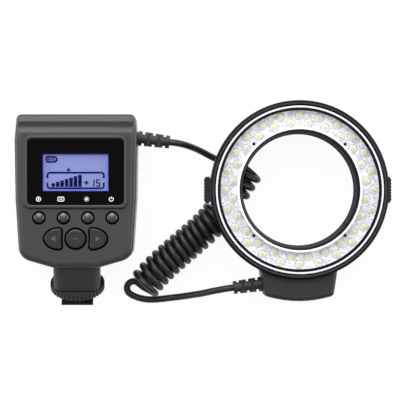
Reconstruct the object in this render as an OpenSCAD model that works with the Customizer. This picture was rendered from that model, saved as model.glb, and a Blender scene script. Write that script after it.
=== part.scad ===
// Macro ring flash: a shoe-mounted control unit, a ring light head and the curly cord between them.
// All three lie on their backs on a table at Z = 0. X runs from the unit to the head, Y towards the
// unit's top end, Z up. The origin is under the middle of the two housings.

/* [Layout on the table] */
// Width of the unit and the head as they lie side by side
layout_w = 221.6; // [216:0.2:260]
// Height of the unit and the head as they lie side by side
layout_h = 120.6; // [116:0.2:140]

/* [Control unit casing] */
// Greatest width of the casing
unit_w = 71.5; // [70:0.5:78]
// Width across the top corners
unit_top_w = 69.3; // [66:0.1:70]
// Width across the lower corners
unit_low_w = 66.8; // [66:0.1:68]
// Height from the lower edge to the top edge
unit_h = 89.7; // [88:0.1:94]
// Depth from the back to the face
unit_d = 40; // [39:0.5:46]
// Height of the joint line between the two shells
split_z = 20; // [19.5:0.5:22]
// Wall of the shells
wall = 2.2; // [1.8:0.1:2.6]
// Rounding of the front and back edges
edge_r = 2.6; // [1.5:0.1:3]
// Radius of the top corners
corner_r = 3.2; // [3.1:0.1:5]
// Depth of the hollow across the casing's forehead
brow_depth = 1; // [0.5:0.1:1.2]

/* [Display] */
// Width of the raised frame round the display
frame_w = 62; // [60:0.5:64]
// Height of the raised frame round the display
frame_h = 43.9; // [43:0.1:46]
// How far the frame stands out of the face
frame_rise = 1.5; // [1:0.1:2.5]
// Width of the window pane
pane_w = 56.2; // [54:0.1:57]
// Height of the window pane
pane_h = 38.3; // [37:0.1:39.5]
// Thickness of the window pane
pane_t = 1.5; // [1:0.1:2]
// Width of the liquid crystal's viewing area
lcd_w = 38.3; // [34:0.1:42]
// Height of the liquid crystal's viewing area
lcd_h = 21.6; // [18:0.1:24]
// Height of the display's centre above the casing's lower edge
display_y = 56; // [55.5:0.1:57]

/* [Buttons] */
// Radius of the four small buttons
small_r = 3; // [2.6:0.1:3.6]
// Distance between the small buttons
small_pitch = 14.2; // [12:0.1:15]
// Height of the row of small buttons above the lower edge
small_y = 29.2; // [28.5:0.1:30]
// Radius of the middle button
select_r = 5.6; // [4.6:0.1:6]
// Height of the middle button above the lower edge
select_y = 17; // [16.5:0.1:17.5]
// Half height of the fin buttons beside the middle button
fin_half = 6; // [5:0.1:6.5]
// Distance from the middle to the fin buttons' inner side
fin_in = 8.1; // [8:0.1:8.6]
// Distance from the middle to the fin buttons' outer tip
fin_out = 18.2; // [17:0.1:19.5]
// Gap round each button
button_gap = 0.7; // [0.3:0.02:0.7]
// How far a button stands out of the face
button_rise = 1; // [0.6:0.1:1.5]
// Travel of a button
button_travel = 1; // [0.6:0.1:1.1]

/* [Batteries] */
// Diameter of a cell
cell_d = 14.3; // [14:0.1:14.5]
// Length of a cell with its nub
cell_l = 50.5; // [49.5:0.1:50.5]
// Distance between the cells
cell_pitch = 14.6; // [14.5:0.1:14.8]
// Length of the battery compartment
bay_l = 58; // [57:0.5:59]
// Width of the battery door
door_w = 60.4; // [60:0.1:61]
// Thickness of the battery door
door_t = 1.9; // [1.6:0.1:2.1]

/* [Shoe] */
// Angle between the casing's back and the shoe's axis
shoe_tilt = 30; // [25:1:35]
// Width of the neck
neck_w = 27.2; // [24:0.2:30]
// Distance from the shoe's axis to the neck's front
neck_front = 11.5; // [10:0.5:11.5]
// Distance from the shoe's axis to the neck's back
neck_back = 9.5; // [8:0.5:11]
// Distance of the neck's end from the casing's lower edge
neck_out = 8; // [7:0.5:10]
// Radius of the lock wheel
wheel_r = 16; // [14:0.5:16.5]
// Thickness of the lock wheel
wheel_t = 3.6; // [3:0.1:4]
// Number of ridges round the lock wheel
wheel_ridges = 40; // [24:1:48]
// Thickness of the lock washer
washer_t = 1.4; // [1:0.1:1.8]
// Width of the shoe's foot plate
foot_w = 18.6; // [18.5:0.05:18.65]
// Length of the shoe's foot plate
foot_l = 18; // [17.5:0.1:18.2]
// Thickness of the shoe's foot plate
foot_t = 2; // [1.9:0.05:2]
// Gap between the open washer and the foot plate
rail_gap = 3.4; // [3:0.1:4]

/* [Ring head] */
// Radius of the front rim
rim_r = 52.6; // [51.5:0.1:55]
// Depth of the light unit from its back plate to the front of its rim
light_d = 12; // [12:0.1:14]
// Inner radius of the front rim
rim_in_r = 49.9; // [49.5:0.1:50.2]
// Radius of the clear opening at its narrow back end
opening_r = 32.8; // [31:0.1:33.4]
// Outer radius of the rear collar
collar_r = 46; // [45.5:0.1:46.5]
// Wall of the rear collar
collar_t = 2.5; // [2:0.1:3]
// Depth of the rear collar
collar_d = 17; // [16.8:0.1:20]
// Outer radius of the reflector plate
plate_r = 47.2; // [47:0.1:48]
// Number of lamps in each row
row_lamps = 24; // [18:2:24]
// Radius of the outer row of lamps
outer_row_r = 43.8; // [43.5:0.1:44]
// Radius of the inner row of lamps
inner_row_r = 39.5; // [39.3:0.1:39.7]
// Radius of a lamp's lens
lamp_r = 2.5; // [2:0.1:2.6]
// Outer radius of the cable block, from the head's centre
block_r = 65.6; // [62:0.2:68]
// Width of the cable block beside the rim
block_w = 47; // [40:0.5:50]
// Width of the cable block at its outer end
block_end_w = 40; // [34:0.5:42]

/* [Release levers] */
// Width of a lever
lever_w = 14; // [12:0.5:15]
// How far a lever's pad stands out of the rim
pad_proud = 2.9; // [1.5:0.1:3.2]
// Number of grip ribs on a pad
pad_ribs = 11; // [7:1:13]

/* [Cord] */
// Diameter of the cord
cord_d = 4; // [3.4:0.1:4]
// Outer diameter of the curls beside the head
curl_d = 20.4; // [19:0.1:20.4]
// Number of curls beside the head
curls = 13; // [8:1:13]
// Outer diameter of the curls inside the head's opening
inner_curl_d = 14.8; // [14:0.1:15]
// Number of curls inside the head's opening
inner_curls = 3; // [2:1:3]

/* [Fits] */
// Gap between pieces that are assembled and don't move
fit_gap = 0.1; // [0.05:0.01:0.2]
// Gap between pieces that slide or turn on each other
slide_gap = 0.15; // [0.1:0.01:0.25]
// Radial gap of a shaft that turns in its hole
shaft_gap = 0.06; // [0.03:0.01:0.09]

/* [Hidden] */
$fn = 48;

// Small overshoot of a cut past the face it opens
over = 1;

// Casing: rows of [distance from the middle, height, radius] that a band round them makes the outline
side_r = 12;
waist_r = 20;
waist_in = 0.55;
low_corner_r = 8.7;
small_crown = 0.9;
select_crown = 0.5;
select_round = 1.2;
fin_heel = 1.6;
fin_hollow = 0.3;
fin_crown = 0.6;
fin_root = fin_in + fin_heel;
chin_r = 8;
chin_x = 12;
chin_rise = 3.7;
right_arcs = [
    [chin_x, chin_r, chin_r],
    [unit_low_w / 2 - low_corner_r, chin_rise + low_corner_r, low_corner_r],
    [unit_w / 2 - waist_in - waist_r, display_y - 15, waist_r],
    [unit_w / 2 - side_r, unit_h - side_r - corner_r, side_r],
    [unit_top_w / 2 - corner_r, unit_h - corner_r, corner_r]];
unit_arcs = concat(right_arcs, [for (i = [len(right_arcs) - 1 : -1 : 0])
    let (c = right_arcs[i]) [-c[0], c[1], c[2]]]);
arc_step = 18;
// The direction in which the band leaves one arc for the next, as the angle of its outward normal
function band_angle(a, b) = let (d = [b[0] - a[0], b[1] - a[1]]) atan2(d[1], d[0])
    - acos((a[2] - b[2]) / norm(d));
function turn_of(a, b) = (b - a) - 360 * floor((b - a) / 360);
unit_normals = [for (i = [0 : len(unit_arcs) - 1])
    let (n = len(unit_arcs), c = unit_arcs[i], from = band_angle(unit_arcs[(i + n - 1) % n], c),
        swing = turn_of(from, band_angle(c, unit_arcs[(i + 1) % n])),
            steps = max(1, ceil(swing / arc_step)))
    for (k = [0 : steps]) [c, from + swing * k / steps]];
function unit_outline(inset) = [for (t = unit_normals)
    [t[0][0] + (t[0][2] - inset) * cos(t[1]), t[0][1] + (t[0][2] - inset) * sin(t[1])]];
soft = 0.3 * edge_r;
rear_levels = [[0, edge_r - 0.4], [soft, soft - 0.1], [edge_r, 0], [split_z, 0]];
front_levels = [[split_z, 0], [unit_d - edge_r, 0], [unit_d - soft, soft], [unit_d, edge_r]];
face_in = unit_d - wall;
brow_r = 14;
brow_y = unit_h - 6.4;

// Display stack, from the pane down to the board
pane_z = unit_d + frame_rise - 0.3 - pane_t;
pane_corner = 3;
frame_corner = 4.7;
frame_slope = 1.2;
lcd_rim = 3;
lcd_t = 1.8;
pane_ledge = 3.5;
lcd_top = pane_z - 0.3;
board_t = 1.6;
flange_t = 1.1;
stem_t = 1.6;
mat_t = 0.8;
mat_in = 9;
mat_over = 3;
mat_corner = 2;
mat_z = face_in - 0.05 - flange_t - stem_t - button_travel - 0.2 - mat_t;
board_z = mat_z - board_t;
board_half_w = 28.5;
board_low = 12.5;
board_high = 81;
board_post_x = 25.5;
board_post_low = 16.8;
board_post_high = 78.2;
post_r = 2.2;
small_screw_r = 0.9;
board_posts = [for (x = [-1, 1], y = [board_post_low, board_post_high]) [x * board_post_x, y]];

// Case screws run from the back into posts of the front shell
case_post_r = 2.6;
case_screw_r = 1.25;
case_head_r = 2.3;
case_head_t = 1.6;
case_head_z = 4.4;
case_screw_l = 24;
case_posts = [[-28, unit_h - 5.2], [28, unit_h - 5.2], [-24.5, 9.5], [24.5, 9.5]];

// Battery bay: the cells lie side by side along Y and the door closes the bay's back
bay_w = 3 * cell_pitch + cell_d + 0.6;
bay_wall = 1.3;
bay_head = 9;
door_lip = 3.2;
bay_low = unit_h - bay_head - bay_l;
door_low = bay_low - door_lip;
bay_top = door_t + slide_gap + 0.3 + cell_d + 0.6;
floor_z = 3.6;
door_z = 0.15;
tongue = 1;
tongue_t = 0.8;
cell_z = door_t + slide_gap + 0.3 + cell_d / 2;
nub_r = 2.75;
nub_l = 1.2;
contact_t = 0.4;
contact_w = 11;
cell_play = 0.4;
spring_l = bay_l - cell_l - 2 * contact_t - cell_play;
cone_wire = 0.7;
cone_low_r = 4.4;
cone_top_r = 2.2;
cone_turns = 2;
cone_steps = 12;
door_groove_w = 1.2;
door_grooves = 6;
door_groove_pitch = 2.4;

// Shoe: along its axis, measured from the neck's end
neck_r = 4.5;
neck_in = 19.5;
stem_r = 6.2;
wheel_z = 0.9;
washer_z = wheel_z + wheel_t + slide_gap;
foot_z = washer_z + washer_t + rail_gap;
washer_w = 18;
ridge_depth = 0.7;
shoe_lift = wheel_r * cos(shoe_tilt) + (wheel_z + wheel_t) * sin(shoe_tilt) + 1.4;
contact_r = 1.2;
insulator_r = 3.2;
insulator_t = 1;

// Places on the table
unit_cx = unit_w / 2 - layout_w / 2;
shoe_low = foot_l / 2 * sin(shoe_tilt) + (foot_z + foot_t) * cos(shoe_tilt);
unit_low = -layout_h / 2 + shoe_low + neck_out;
lean_room = 0.3;
lean = asin((cord_d + lean_room) / (2 * collar_r - 6.5));
pad_room = 0.8;
pad_top = collar_d - pad_room;
head_cx = layout_w / 2 - (rim_r + pad_proud) * cos(lean) - pad_top * sin(lean);
head_cy = layout_h / 2 - rim_r;

// Ring head, measured up from the rear face of its collar
tray_t = 2;
tray_in_r = opening_r + 3.3;
tray_wall = 2;
tray_r = rim_r - 0.2;
tray_top = collar_d + 7;
front_z = collar_d + light_d;
lamp_board_z = collar_d + tray_t;
lamp_z = lamp_board_z + board_t;
plate_z = lamp_z + 2.4;
plate_t = 1.2;
lamp_top = lamp_z + 6.6;
lamp_flange_r = lamp_r + 0.35;
cover_z = lamp_top + 0.3;
cover_t = 1.2;
ledge = 0.7;
lip_t = 0.5;
inner_flange_r = opening_r + 5.2;
inner_flange_t = 1.4;
plate_screw_r = 38;
plate_screw_head = 0.85;
plate_head_t = 0.7;
plate_screw_in = 3;
plate_shank_r = 0.5;
plate_post_r = 1.4;
collar_post_r = 2.4;
collar_post_ring = collar_r + 1;
collar_post_z = 5;
collar_head_r = 1.8;
collar_shank_r = 1.1;
collar_head_t = 1.5;

// Cable block
block_low = 4;
block_split = 14;
block_top = 24;
block_corner = 3;
block_edge = 2;
block_screw_l = 13;
block_screw_x = 12;
block_screw_y = -57.5;
// The block's right side leans in; a corner arc joins it to the outer arc about the head's centre
block_root = [block_w / 2, 4 - collar_r];
block_side = unit_of([block_r - collar_r + 4, (block_end_w - block_w) / 2]);
block_down = [block_side[1], -block_side[0]];
block_reach = block_side * block_root - block_corner;
block_pivot = block_reach * block_side
    + sqrt(pow(block_r - block_corner, 2) - block_reach * block_reach) * block_down;
block_from = atan2(block_pivot[1], block_pivot[0]);
block_to = atan2(block_side[1], block_side[0]);
function block_half(inset) = concat([for (k = [0 : 5])
    let (a = block_from + (block_to - block_from) * k / 5)
    block_pivot + (block_corner - inset) * [cos(a), sin(a)]], [block_root - inset * block_side]);
function block_outline(inset) = concat(
    [for (k = [1 : 7]) let (a = -180 - block_from + (2 * block_from + 180) * k / 8) (block_r - inset)
        * [cos(a), sin(a)]],
    block_half(inset), [for (k = [6 : -1 : 0]) let (p = block_half(inset)[k]) [-p[0], p[1]]]);

// Release levers: a rocker on each side, seen as the right-hand one
lever_x = rim_r - 5;
lever_t = 3.2;
pin_x = lever_x + lever_t / 2;
pin_z = 8;
pin_r = 1;
cheek_t = 1.6;
cheek_z = 4.6;
claw_z = 1.5;
claw_t = 2;
claw_in = 0.8;
window_w = 9;
window_low = 0.3;
window_high = 5.6;
rib_r = 0.3;
spring_r = 1.5;
spring_wire = 0.4;
spring_z = 13.2;
spring_seat = 1.6;
spring_turns = 5;

// Strain reliefs
relief_r = 4.4;
relief_tip_r = 3.8;
relief_neck_r = 3.6;
relief_flange_r = 5;
relief_flange_t = 1.3;
unit_relief_l = 18.7;
unit_relief_y = 76;
unit_relief_turn = -7;
relief_stand = 0.15;
unit_relief_x = unit_w / 2 + relief_stand;
ring_relief_l = 16.8;
ring_relief_x = -21.5;
ring_relief_y = -55.6;
ring_relief_turn = 187.5;
relief_slots = 5;
relief_slot_w = 1.6;
relief_slot_d = 1.7;

// Cord: the curls lie on the table; each coil starts and ends at the bottom of a curl. The outer curls
// are drawn out and fanned at their start, even in the middle, and bend round the collar at their end
curl_start = [-36.6, -50.2];
curl_heading = 40.3;
curl_first = 5.9;
curl_last = 4.5;
curl_fade = 2;
curl_fan = 16;
curl_bend = 3;
bend_from = 9.5;
bend_room = 0.45;
inner_start = [18.4, 3.35];
inner_heading = 57;
inner_pitch = 5.78;
curl_rings = 8;
cord_z = cord_d / 2;

// Points chosen along the free stretches, between their computed ends
lower_route = [[4.2, -52.4, 14.8], [-1.8, -53.8, 11], [-7.8, -54.9, 7], [-13.8, -55.9, 4],
    [-20, -56.7, 2.4], [-26, -57.4, cord_z], [-31, -57.8, cord_z], [-36, -57.5, cord_z],
    [-40.7, -55.9, cord_z], [-44.4, -53.1, cord_z], [-46.2, -50.2, cord_z],
    [-45.5, -47.9, cord_z], [-43.2, -46.9, cord_z]];
link_route = [[14.6, -10.4, cord_z], [18, -10.4, cord_z], [20.6, -8.2, cord_z],
    [21.9, -4.6, cord_z], [22.1, -1.4, cord_z]];
upper_route = [[19.8, 22.6, cord_z], [15.8, 23.8, cord_z], [11.4, 24.7, cord_z], [7.2, 26, 2.1],
    [3.2, 27.9, 3.1], [-0.8, 30, 5.4], [-4.8, 32, 9.3], [-8.8, 33.7, 13.8], [-12.8, 35, 17.6]];

function unit_of(v) = v / norm(v);
function flat(angle) = [cos(angle), sin(angle), 0];
function path_way(p, i) = unit_of(p[min(i + 1, len(p) - 1)] - p[max(i - 1, 0)]);
function path_ring(p, i, r, sides, guide) =
    let (t = path_way(p, i), s = unit_of(cross(guide, t)), q = cross(t, s))
    [for (k = [0 : sides - 1]) p[i] + r * (cos(360 * k / sides) * s + sin(360 * k / sides) * q)];

// One tube along a path; guide is a direction that the path never takes
module tube(p, r, sides, guide = [0, 0, 1]) {
    last = (len(p) - 1) * sides;
    walls = [for (i = [0 : len(p) - 2], k = [0 : sides - 1])
        let (a = i * sides + k, b = i * sides + (k + 1) % sides)
        each [[a, a + sides, b + sides], [a, b + sides, b]]];
    caps = [for (k = [1 : sides - 2]) each [[0, k, k + 1], [last, last + k + 1, last + k]]];
    polyhedron([for (i = [0 : len(p) - 1]) each path_ring(p, i, r, sides, guide)],
        concat(walls, caps));
}

// The way of a coil: its pitch and heading at every half step, by number of turns
function outer_way(n) = let (fade = exp(-n / curl_fade), bent = max(0, n - bend_from))
    [curl_last + (curl_first - curl_last) * fade + (bent > 0 ? bend_room : 0),
        curl_heading + curl_fan * fade + curl_bend * bent];
outer_ways = [for (i = [0 : 2 * curls * curl_rings]) outer_way(i / curl_rings / 2)];
inner_ways = [for (i = [0 : 2 * inner_curls * curl_rings]) [inner_pitch, inner_heading]];
// The coil's axis is the sum of its steps
function axis_step(way) = way[0] / curl_rings * [cos(way[1]), sin(way[1])];
function coil_axis(start, ways) = [for (j = 0, p = start; 2 * j < len(ways);
    p = p + axis_step(ways[min(2 * j + 1, len(ways) - 1)]), j = j + 1) p];
function curl_across(way, turn) = turn * flat(way[1] - 90);
function curl_slope(way, r, turn) = unit_of(curl_across(way, turn) + way[0] / (2 * PI * r) * flat(way[1]));
// Curls from the bottom of the first to that of the last, with a short straight end on each side
function coil_path(start, ways, r, turn) =
    let (axis = coil_axis(start, ways), c = [for (j = [0 : len(axis) - 1]) let (w = 360 * j / curl_rings)
        [axis[j][0], axis[j][1], cord_z + r]
            + r * (sin(w) * curl_across(ways[2 * j], turn) - [0, 0, cos(w)])])
    concat([c[0] - cord_z * curl_slope(ways[0], r, turn)], c,
        [end_of(c) + cord_z * curl_slope(end_of(ways), r, turn)]);
function end_of(list) = list[len(list) - 1];
// The least gap between the surfaces of two curls that follow each other
function least_gap(p) = min([for (i = [0 : len(p) - 1 - curl_rings], k = [-2 : 2])
    let (j = i + curl_rings + k) if (j < len(p)) norm(p[j] - p[i]) - cord_d]);

curl_r = (curl_d - cord_d) / 2;
inner_curl_r = (inner_curl_d - cord_d) / 2;
outer_coil = coil_path(curl_start, outer_ways, curl_r, 1);
inner_coil = coil_path(inner_start, inner_ways, inner_curl_r, -1);
echo(least_gap_of_outer_coil = least_gap(outer_coil), least_gap_of_inner_coil = least_gap(inner_coil));

// Places of the strain reliefs' tips, for the cord's ends
function head_point(p) = [head_cx + p[0] * cos(lean) + p[2] * sin(lean), head_cy + p[1],
    collar_r * sin(lean) + p[2] * cos(lean) - p[0] * sin(lean)];
ring_tip = head_point([ring_relief_x, ring_relief_y, block_split] + ring_relief_l
    * flat(ring_relief_turn));
ring_tip_on = head_point([ring_relief_x, ring_relief_y, block_split]
    + (ring_relief_l + cord_d) * flat(ring_relief_turn));
unit_tip = [unit_cx + unit_relief_x, unit_low + unit_relief_y, split_z] + unit_relief_l
    * flat(unit_relief_turn);
unit_tip_on = unit_tip + cord_d * flat(unit_relief_turn);
// The straight ends that carry a coil's own direction on into the free stretches
function before(p) = p[0] + (p[0] - p[1]);
function after(p) = end_of(p) + (end_of(p) - p[len(p) - 2]);
lower_path = concat([ring_tip, ring_tip_on], lower_route, [before(outer_coil), outer_coil[0]]);
link_path = concat([end_of(outer_coil), after(outer_coil)], link_route,
    [before(inner_coil), inner_coil[0]]);
upper_path = concat([end_of(inner_coil), after(inner_coil)], upper_route, [unit_tip_on, unit_tip]);

module unit_place() { translate([unit_cx, unit_low, 0]) children(); }
module shoe_place() {
    unit_place() translate([0, -neck_out, shoe_lift]) rotate([90 + shoe_tilt, 0, 0]) children();
}
module head_place() {
    translate([head_cx, head_cy, collar_r * sin(lean)]) rotate([0, lean, 0]) children();
}

// Rounded rectangle about the origin
function plate_points(w, h, r) = [for (c = [[1, 1, 0], [-1, 1, 90], [-1, -1, 180], [1, -1, 270]],
    a = [0 : 18 : 90])
    [c[0] * (w / 2 - r) + r * cos(a + c[2]), c[1] * (h / 2 - r) + r * sin(a + c[2])]];
module plate_shape(w, h, r) { polygon(plate_points(w, h, r)); }
module slab(w, h, r, z, t) { translate([0, 0, z]) linear_extrude(t) plate_shape(w, h, r); }

// A form through outlines of equal length, one at each height
module loft(heights, outlines) {
    n = len(outlines[0]);
    top = (len(heights) - 1) * n;
    walls = [for (i = [0 : len(heights) - 2], k = [0 : n - 1])
        let (a = i * n + k, b = i * n + (k + 1) % n) [a, a + n, b + n, b]];
    polyhedron([for (i = [0 : len(heights) - 1], p = outlines[i]) [p[0], p[1], heights[i]]],
        concat(walls, [[for (k = [0 : n - 1]) k]], [[for (k = [n - 1 : -1 : 0]) top + k]]));
}
// The casing's form through rows of [height, inset]
module unit_form(levels) { loft([for (l = levels) l[0]], [for (l = levels) unit_outline(l[1])]); }
module neck_shape(gap) {
    translate([0, (neck_front - neck_back) / 2])
        plate_shape(neck_w + 2 * gap, neck_front + neck_back + 2 * gap, neck_r);
}
module neck_cut() {
    translate([0, -neck_out, shoe_lift]) rotate([90 + shoe_tilt, 0, 0])
        translate([0, 0, -neck_in - fit_gap]) linear_extrude(neck_in + 2 * wheel_r) neck_shape(fit_gap);
}
// The strain relief along +X from the outside of a wall, and the hole that its neck needs
module relief(length, wall_t) {
    pitch = length / (relief_slots + 1);
    difference() {
        rotate([0, 90, 0]) rotate_extrude() polygon([[0, -wall_t - relief_flange_t],
            [relief_flange_r, -wall_t - relief_flange_t], [relief_flange_r, -wall_t - fit_gap],
            [relief_neck_r, -wall_t - fit_gap], [relief_neck_r, fit_gap], [relief_r, fit_gap],
            [relief_tip_r, length], [0, length]]);
        for (i = [1 : relief_slots], s = [-1, 1]) rotate([i % 2 * 90, 0, 0])
            translate([i * pitch - relief_slot_w / 2, -relief_r,
                s > 0 ? relief_r - relief_slot_d : -2 * relief_r])
                cube([relief_slot_w, 2 * relief_r, relief_r + relief_slot_d]);
    }
}
module relief_hole(wall_t) {
    rotate([0, 90, 0]) translate([0, 0, -wall_t - 2 * relief_flange_t]) {
        cylinder(r = relief_neck_r + fit_gap, h = wall_t + 2 * relief_flange_t + relief_r);
        cylinder(r = relief_flange_r + fit_gap, h = 2 * relief_flange_t);
    }
}
module at_unit_relief() { translate([unit_relief_x, unit_relief_y, split_z]) rotate(unit_relief_turn)
    children(); }
module at_ring_relief() { translate([ring_relief_x, ring_relief_y, block_split])
    rotate(ring_relief_turn) children(); }

// Buttons: a cap through the face, held from inside by its flange
// Fin button's outline: half an ellipse outwards, rounded heels and a slight hollow beside the round button
function heel_arc(side, gap, angles) = [for (a = angles) [fin_root + (fin_heel + gap) * cos(a),
    side * (fin_half - fin_heel) + (fin_heel + gap) * sin(a)]];
function fin_outline(gap) = concat(
    [for (a = [-90 : 10 : 90]) [fin_root + (fin_out - fin_root + gap) * cos(a), (fin_half + gap) * sin(a)]],
    heel_arc(1, gap, [105 : 15 : 180]),
    [for (t = [0.5, 0, -0.5]) [fin_in - gap + fin_hollow * (1 - t * t), t * (fin_half - fin_heel)]],
    heel_arc(-1, gap, [180 : 15 : 255]));
// Round button: its crown rises inwards over the width named edge
module round_button(x, y, r, crown, edge) {
    low = unit_d + button_rise - crown;
    foot = face_in - 0.05 - flange_t;
    unit_place() translate([x, y, 0]) rotate_extrude() polygon(concat([[0, foot - stem_t],
        [r - 0.7, foot - stem_t], [r - 0.7, foot], [r + 2 * button_gap, foot],
        [r + 2 * button_gap, foot + flange_t], [r, foot + flange_t]],
        [for (a = [0 : 15 : 90]) [r - edge + edge * cos(a), low + crown * sin(a)]],
        edge < r ? [[0, low + crown]] : []));
}
module fin_button(side) {
    top = unit_d + button_rise;
    foot = face_in - 0.05 - flange_t;
    unit_place() translate([0, select_y, 0]) mirror([side < 0 ? 1 : 0, 0, 0]) {
        translate([0, 0, foot - stem_t]) linear_extrude(stem_t + flange_t) polygon(fin_outline(-0.6));
        translate([0, 0, foot]) linear_extrude(flange_t) polygon(fin_outline(0.85));
        loft([foot, top - fin_crown, top - fin_crown / 3, top],
            [for (e = [0, 0, fin_crown / 4, fin_crown]) fin_outline(-e)]);
    }
}
module screw(head_r, head_t, shank_r, length) {
    cylinder(r = head_r, h = head_t);
    cylinder(r = shank_r, h = length);
}

module front_shell() {
    color("dimgray") unit_place() difference() {
        union() {
            difference() {
                unit_form(front_levels);
                translate([0, 0, split_z - over]) linear_extrude(face_in - split_z + over)
                    polygon(unit_outline(wall));
            }
            translate([0, display_y, 0]) loft([unit_d - over, unit_d, unit_d + frame_rise],
                [for (e = [0, 0, frame_slope]) plate_points(frame_w - 2 * e, frame_h - 2 * e,
                    frame_corner - e)]);
            for (p = case_posts) translate([p[0], p[1], split_z])
                cylinder(r = case_post_r, h = face_in - split_z + over);
            for (p = board_posts) translate([p[0], p[1], board_z + board_t])
                cylinder(r = post_r, h = face_in - board_z - board_t + over);
        }
        translate([0, display_y, 0]) {
            slab(pane_w + 2 * fit_gap, pane_h + 2 * fit_gap, pane_corner, pane_z, pane_t + over);
            slab(pane_w - 2 * pane_ledge, pane_h - 2 * pane_ledge, 1, face_in - over,
                pane_t + 2 * over + wall);
        }
        for (i = [-1.5 : 1.5]) translate([i * small_pitch, small_y, face_in - over])
            cylinder(r = small_r + button_gap, h = wall + 2 * over);
        translate([0, select_y, face_in - over]) {
            cylinder(r = select_r + button_gap, h = wall + 2 * over);
            for (m = [0, 1]) mirror([m, 0, 0])
                linear_extrude(wall + 2 * over) polygon(fin_outline(button_gap - 0.1));
        }
        for (p = case_posts) translate([p[0], p[1], split_z - over])
            cylinder(r = case_screw_r + 0.05, h = case_head_z + case_screw_l - split_z + over + 0.3);
        for (p = board_posts) translate([p[0], p[1], board_z])
            cylinder(r = small_screw_r + 0.05, h = 5.5);
        translate([0, brow_y, unit_d + brow_r - brow_depth]) rotate([0, 90, 0])
            cylinder(r = brow_r, h = 2 * unit_w, center = true, $fn = 96);
        at_unit_relief() relief_hole(wall);
        neck_cut();
    }
}

module rear_shell() {
    color("dimgray") unit_place() difference() {
        union() {
            difference() {
                unit_form(rear_levels);
                translate([0, 0, floor_z]) linear_extrude(split_z - floor_z + over)
                    polygon(unit_outline(wall));
            }
            translate([-bay_w / 2 - bay_wall, bay_low - bay_wall, door_t + door_z])
                cube([bay_w + 2 * bay_wall, bay_l + 2 * bay_wall, bay_top + bay_wall - door_t - door_z]);
            for (p = case_posts) translate([p[0], p[1], door_t + door_z])
                cylinder(r = case_post_r + 0.5, h = split_z - door_t - door_z);
        }
        translate([-bay_w / 2, bay_low, -over]) cube([bay_w, bay_l, bay_top + over]);
        translate([-door_w / 2 - slide_gap, door_low - slide_gap, -over])
            cube([door_w + 2 * slide_gap, unit_h, door_t + door_z + slide_gap + over]);
        translate([-door_w / 2 - tongue - slide_gap, door_low - slide_gap,
            door_z + door_t - tongue_t - slide_gap])
            cube([door_w + 2 * tongue + 2 * slide_gap, unit_h, tongue_t + 2 * slide_gap]);
        for (p = case_posts) translate([p[0], p[1], -over]) {
            cylinder(r = case_head_r + fit_gap, h = case_head_z + case_head_t + over);
            cylinder(r = case_screw_r + 0.05, h = split_z + 2 * over);
        }
        at_unit_relief() relief_hole(wall);
        neck_cut();
    }
}

module display_window() {
    color("black", 0.6) unit_place() translate([0, display_y, 0])
        slab(pane_w, pane_h, pane_corner, pane_z, pane_t);
}

module lcd_panel() {
    color("slateblue") unit_place() translate([0, display_y, 0])
        slab(lcd_w + 2 * lcd_rim, lcd_h + 2 * lcd_rim, 0.5, lcd_top - lcd_t, lcd_t);
}

module lcd_backlight() {
    color("white") unit_place() translate([0, display_y, 0])
        slab(lcd_w + 2 * lcd_rim + 1, lcd_h + 2 * lcd_rim + 1, 1, board_z + board_t,
            lcd_top - lcd_t - board_z - board_t);
}

module main_board() {
    color("darkgreen") unit_place() difference() {
        translate([0, (board_low + board_high) / 2, 0])
            slab(2 * board_half_w, board_high - board_low, 2, board_z, board_t);
        for (p = board_posts) translate([p[0], p[1], board_z - over])
            cylinder(r = small_screw_r + 0.05, h = board_t + 2 * over);
    }
}

module board_screws() {
    color("silver") unit_place() for (p = board_posts) translate([p[0], p[1], board_z - 1.2])
        screw(1.8, 1.2, small_screw_r, 6);
}

module keypad_mat() {
    color("black") unit_place() difference() {
        translate([0, (small_y + select_y) / 2, 0])
            slab(4 * small_pitch - mat_in, small_y - select_y + 4 * small_r + mat_over, mat_corner,
                mat_z, mat_t);
        for (p = concat(board_posts, case_posts)) translate([p[0], p[1], mat_z - over])
            cylinder(r = max(post_r, case_post_r) + 2 * fit_gap, h = mat_t + 2 * over);
    }
}

module small_button(spot) { round_button(spot * small_pitch, small_y, small_r, small_crown, small_r); }
module pilot_button() { color("gray") small_button(-1.5); }
module mode_button() { color("gray") small_button(-0.5); }
module light_button() { color("gray") small_button(0.5); }
module power_button() { color("gray") small_button(1.5); }
module select_button() { color("gray") round_button(0, select_y, select_r, select_crown,
    select_round); }
module left_button() { color("gray") fin_button(-1); }
module right_button() { color("gray") fin_button(1); }

module battery_door() {
    color("dimgray") unit_place() intersection() {
        unit_form(rear_levels);
        difference() {
            union() {
                translate([-door_w / 2, door_low, door_z]) cube([door_w, unit_h, door_t]);
                translate([-door_w / 2 - tongue, door_low, door_z + door_t - tongue_t])
                    cube([door_w + 2 * tongue, unit_h, tongue_t]);
            }
            for (i = [0 : door_grooves - 1]) translate([0, door_low + 8 + i * door_groove_pitch, door_z])
                cube([door_w / 3, door_groove_w, door_groove_w], center = true);
        }
    }
}

module battery_cells() {
    color("goldenrod") unit_place() for (i = [0 : 3]) let (up = i % 2 == 0)
        translate([(i - 1.5) * cell_pitch, bay_low + bay_l / 2, cell_z]) rotate([up ? -90 : 90, 0, 0])
            translate([0, 0, bay_l / 2 - contact_t - fit_gap - cell_l]) {
                cylinder(d = cell_d, h = cell_l - nub_l);
                cylinder(r = nub_r, h = cell_l);
            }
}

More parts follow.
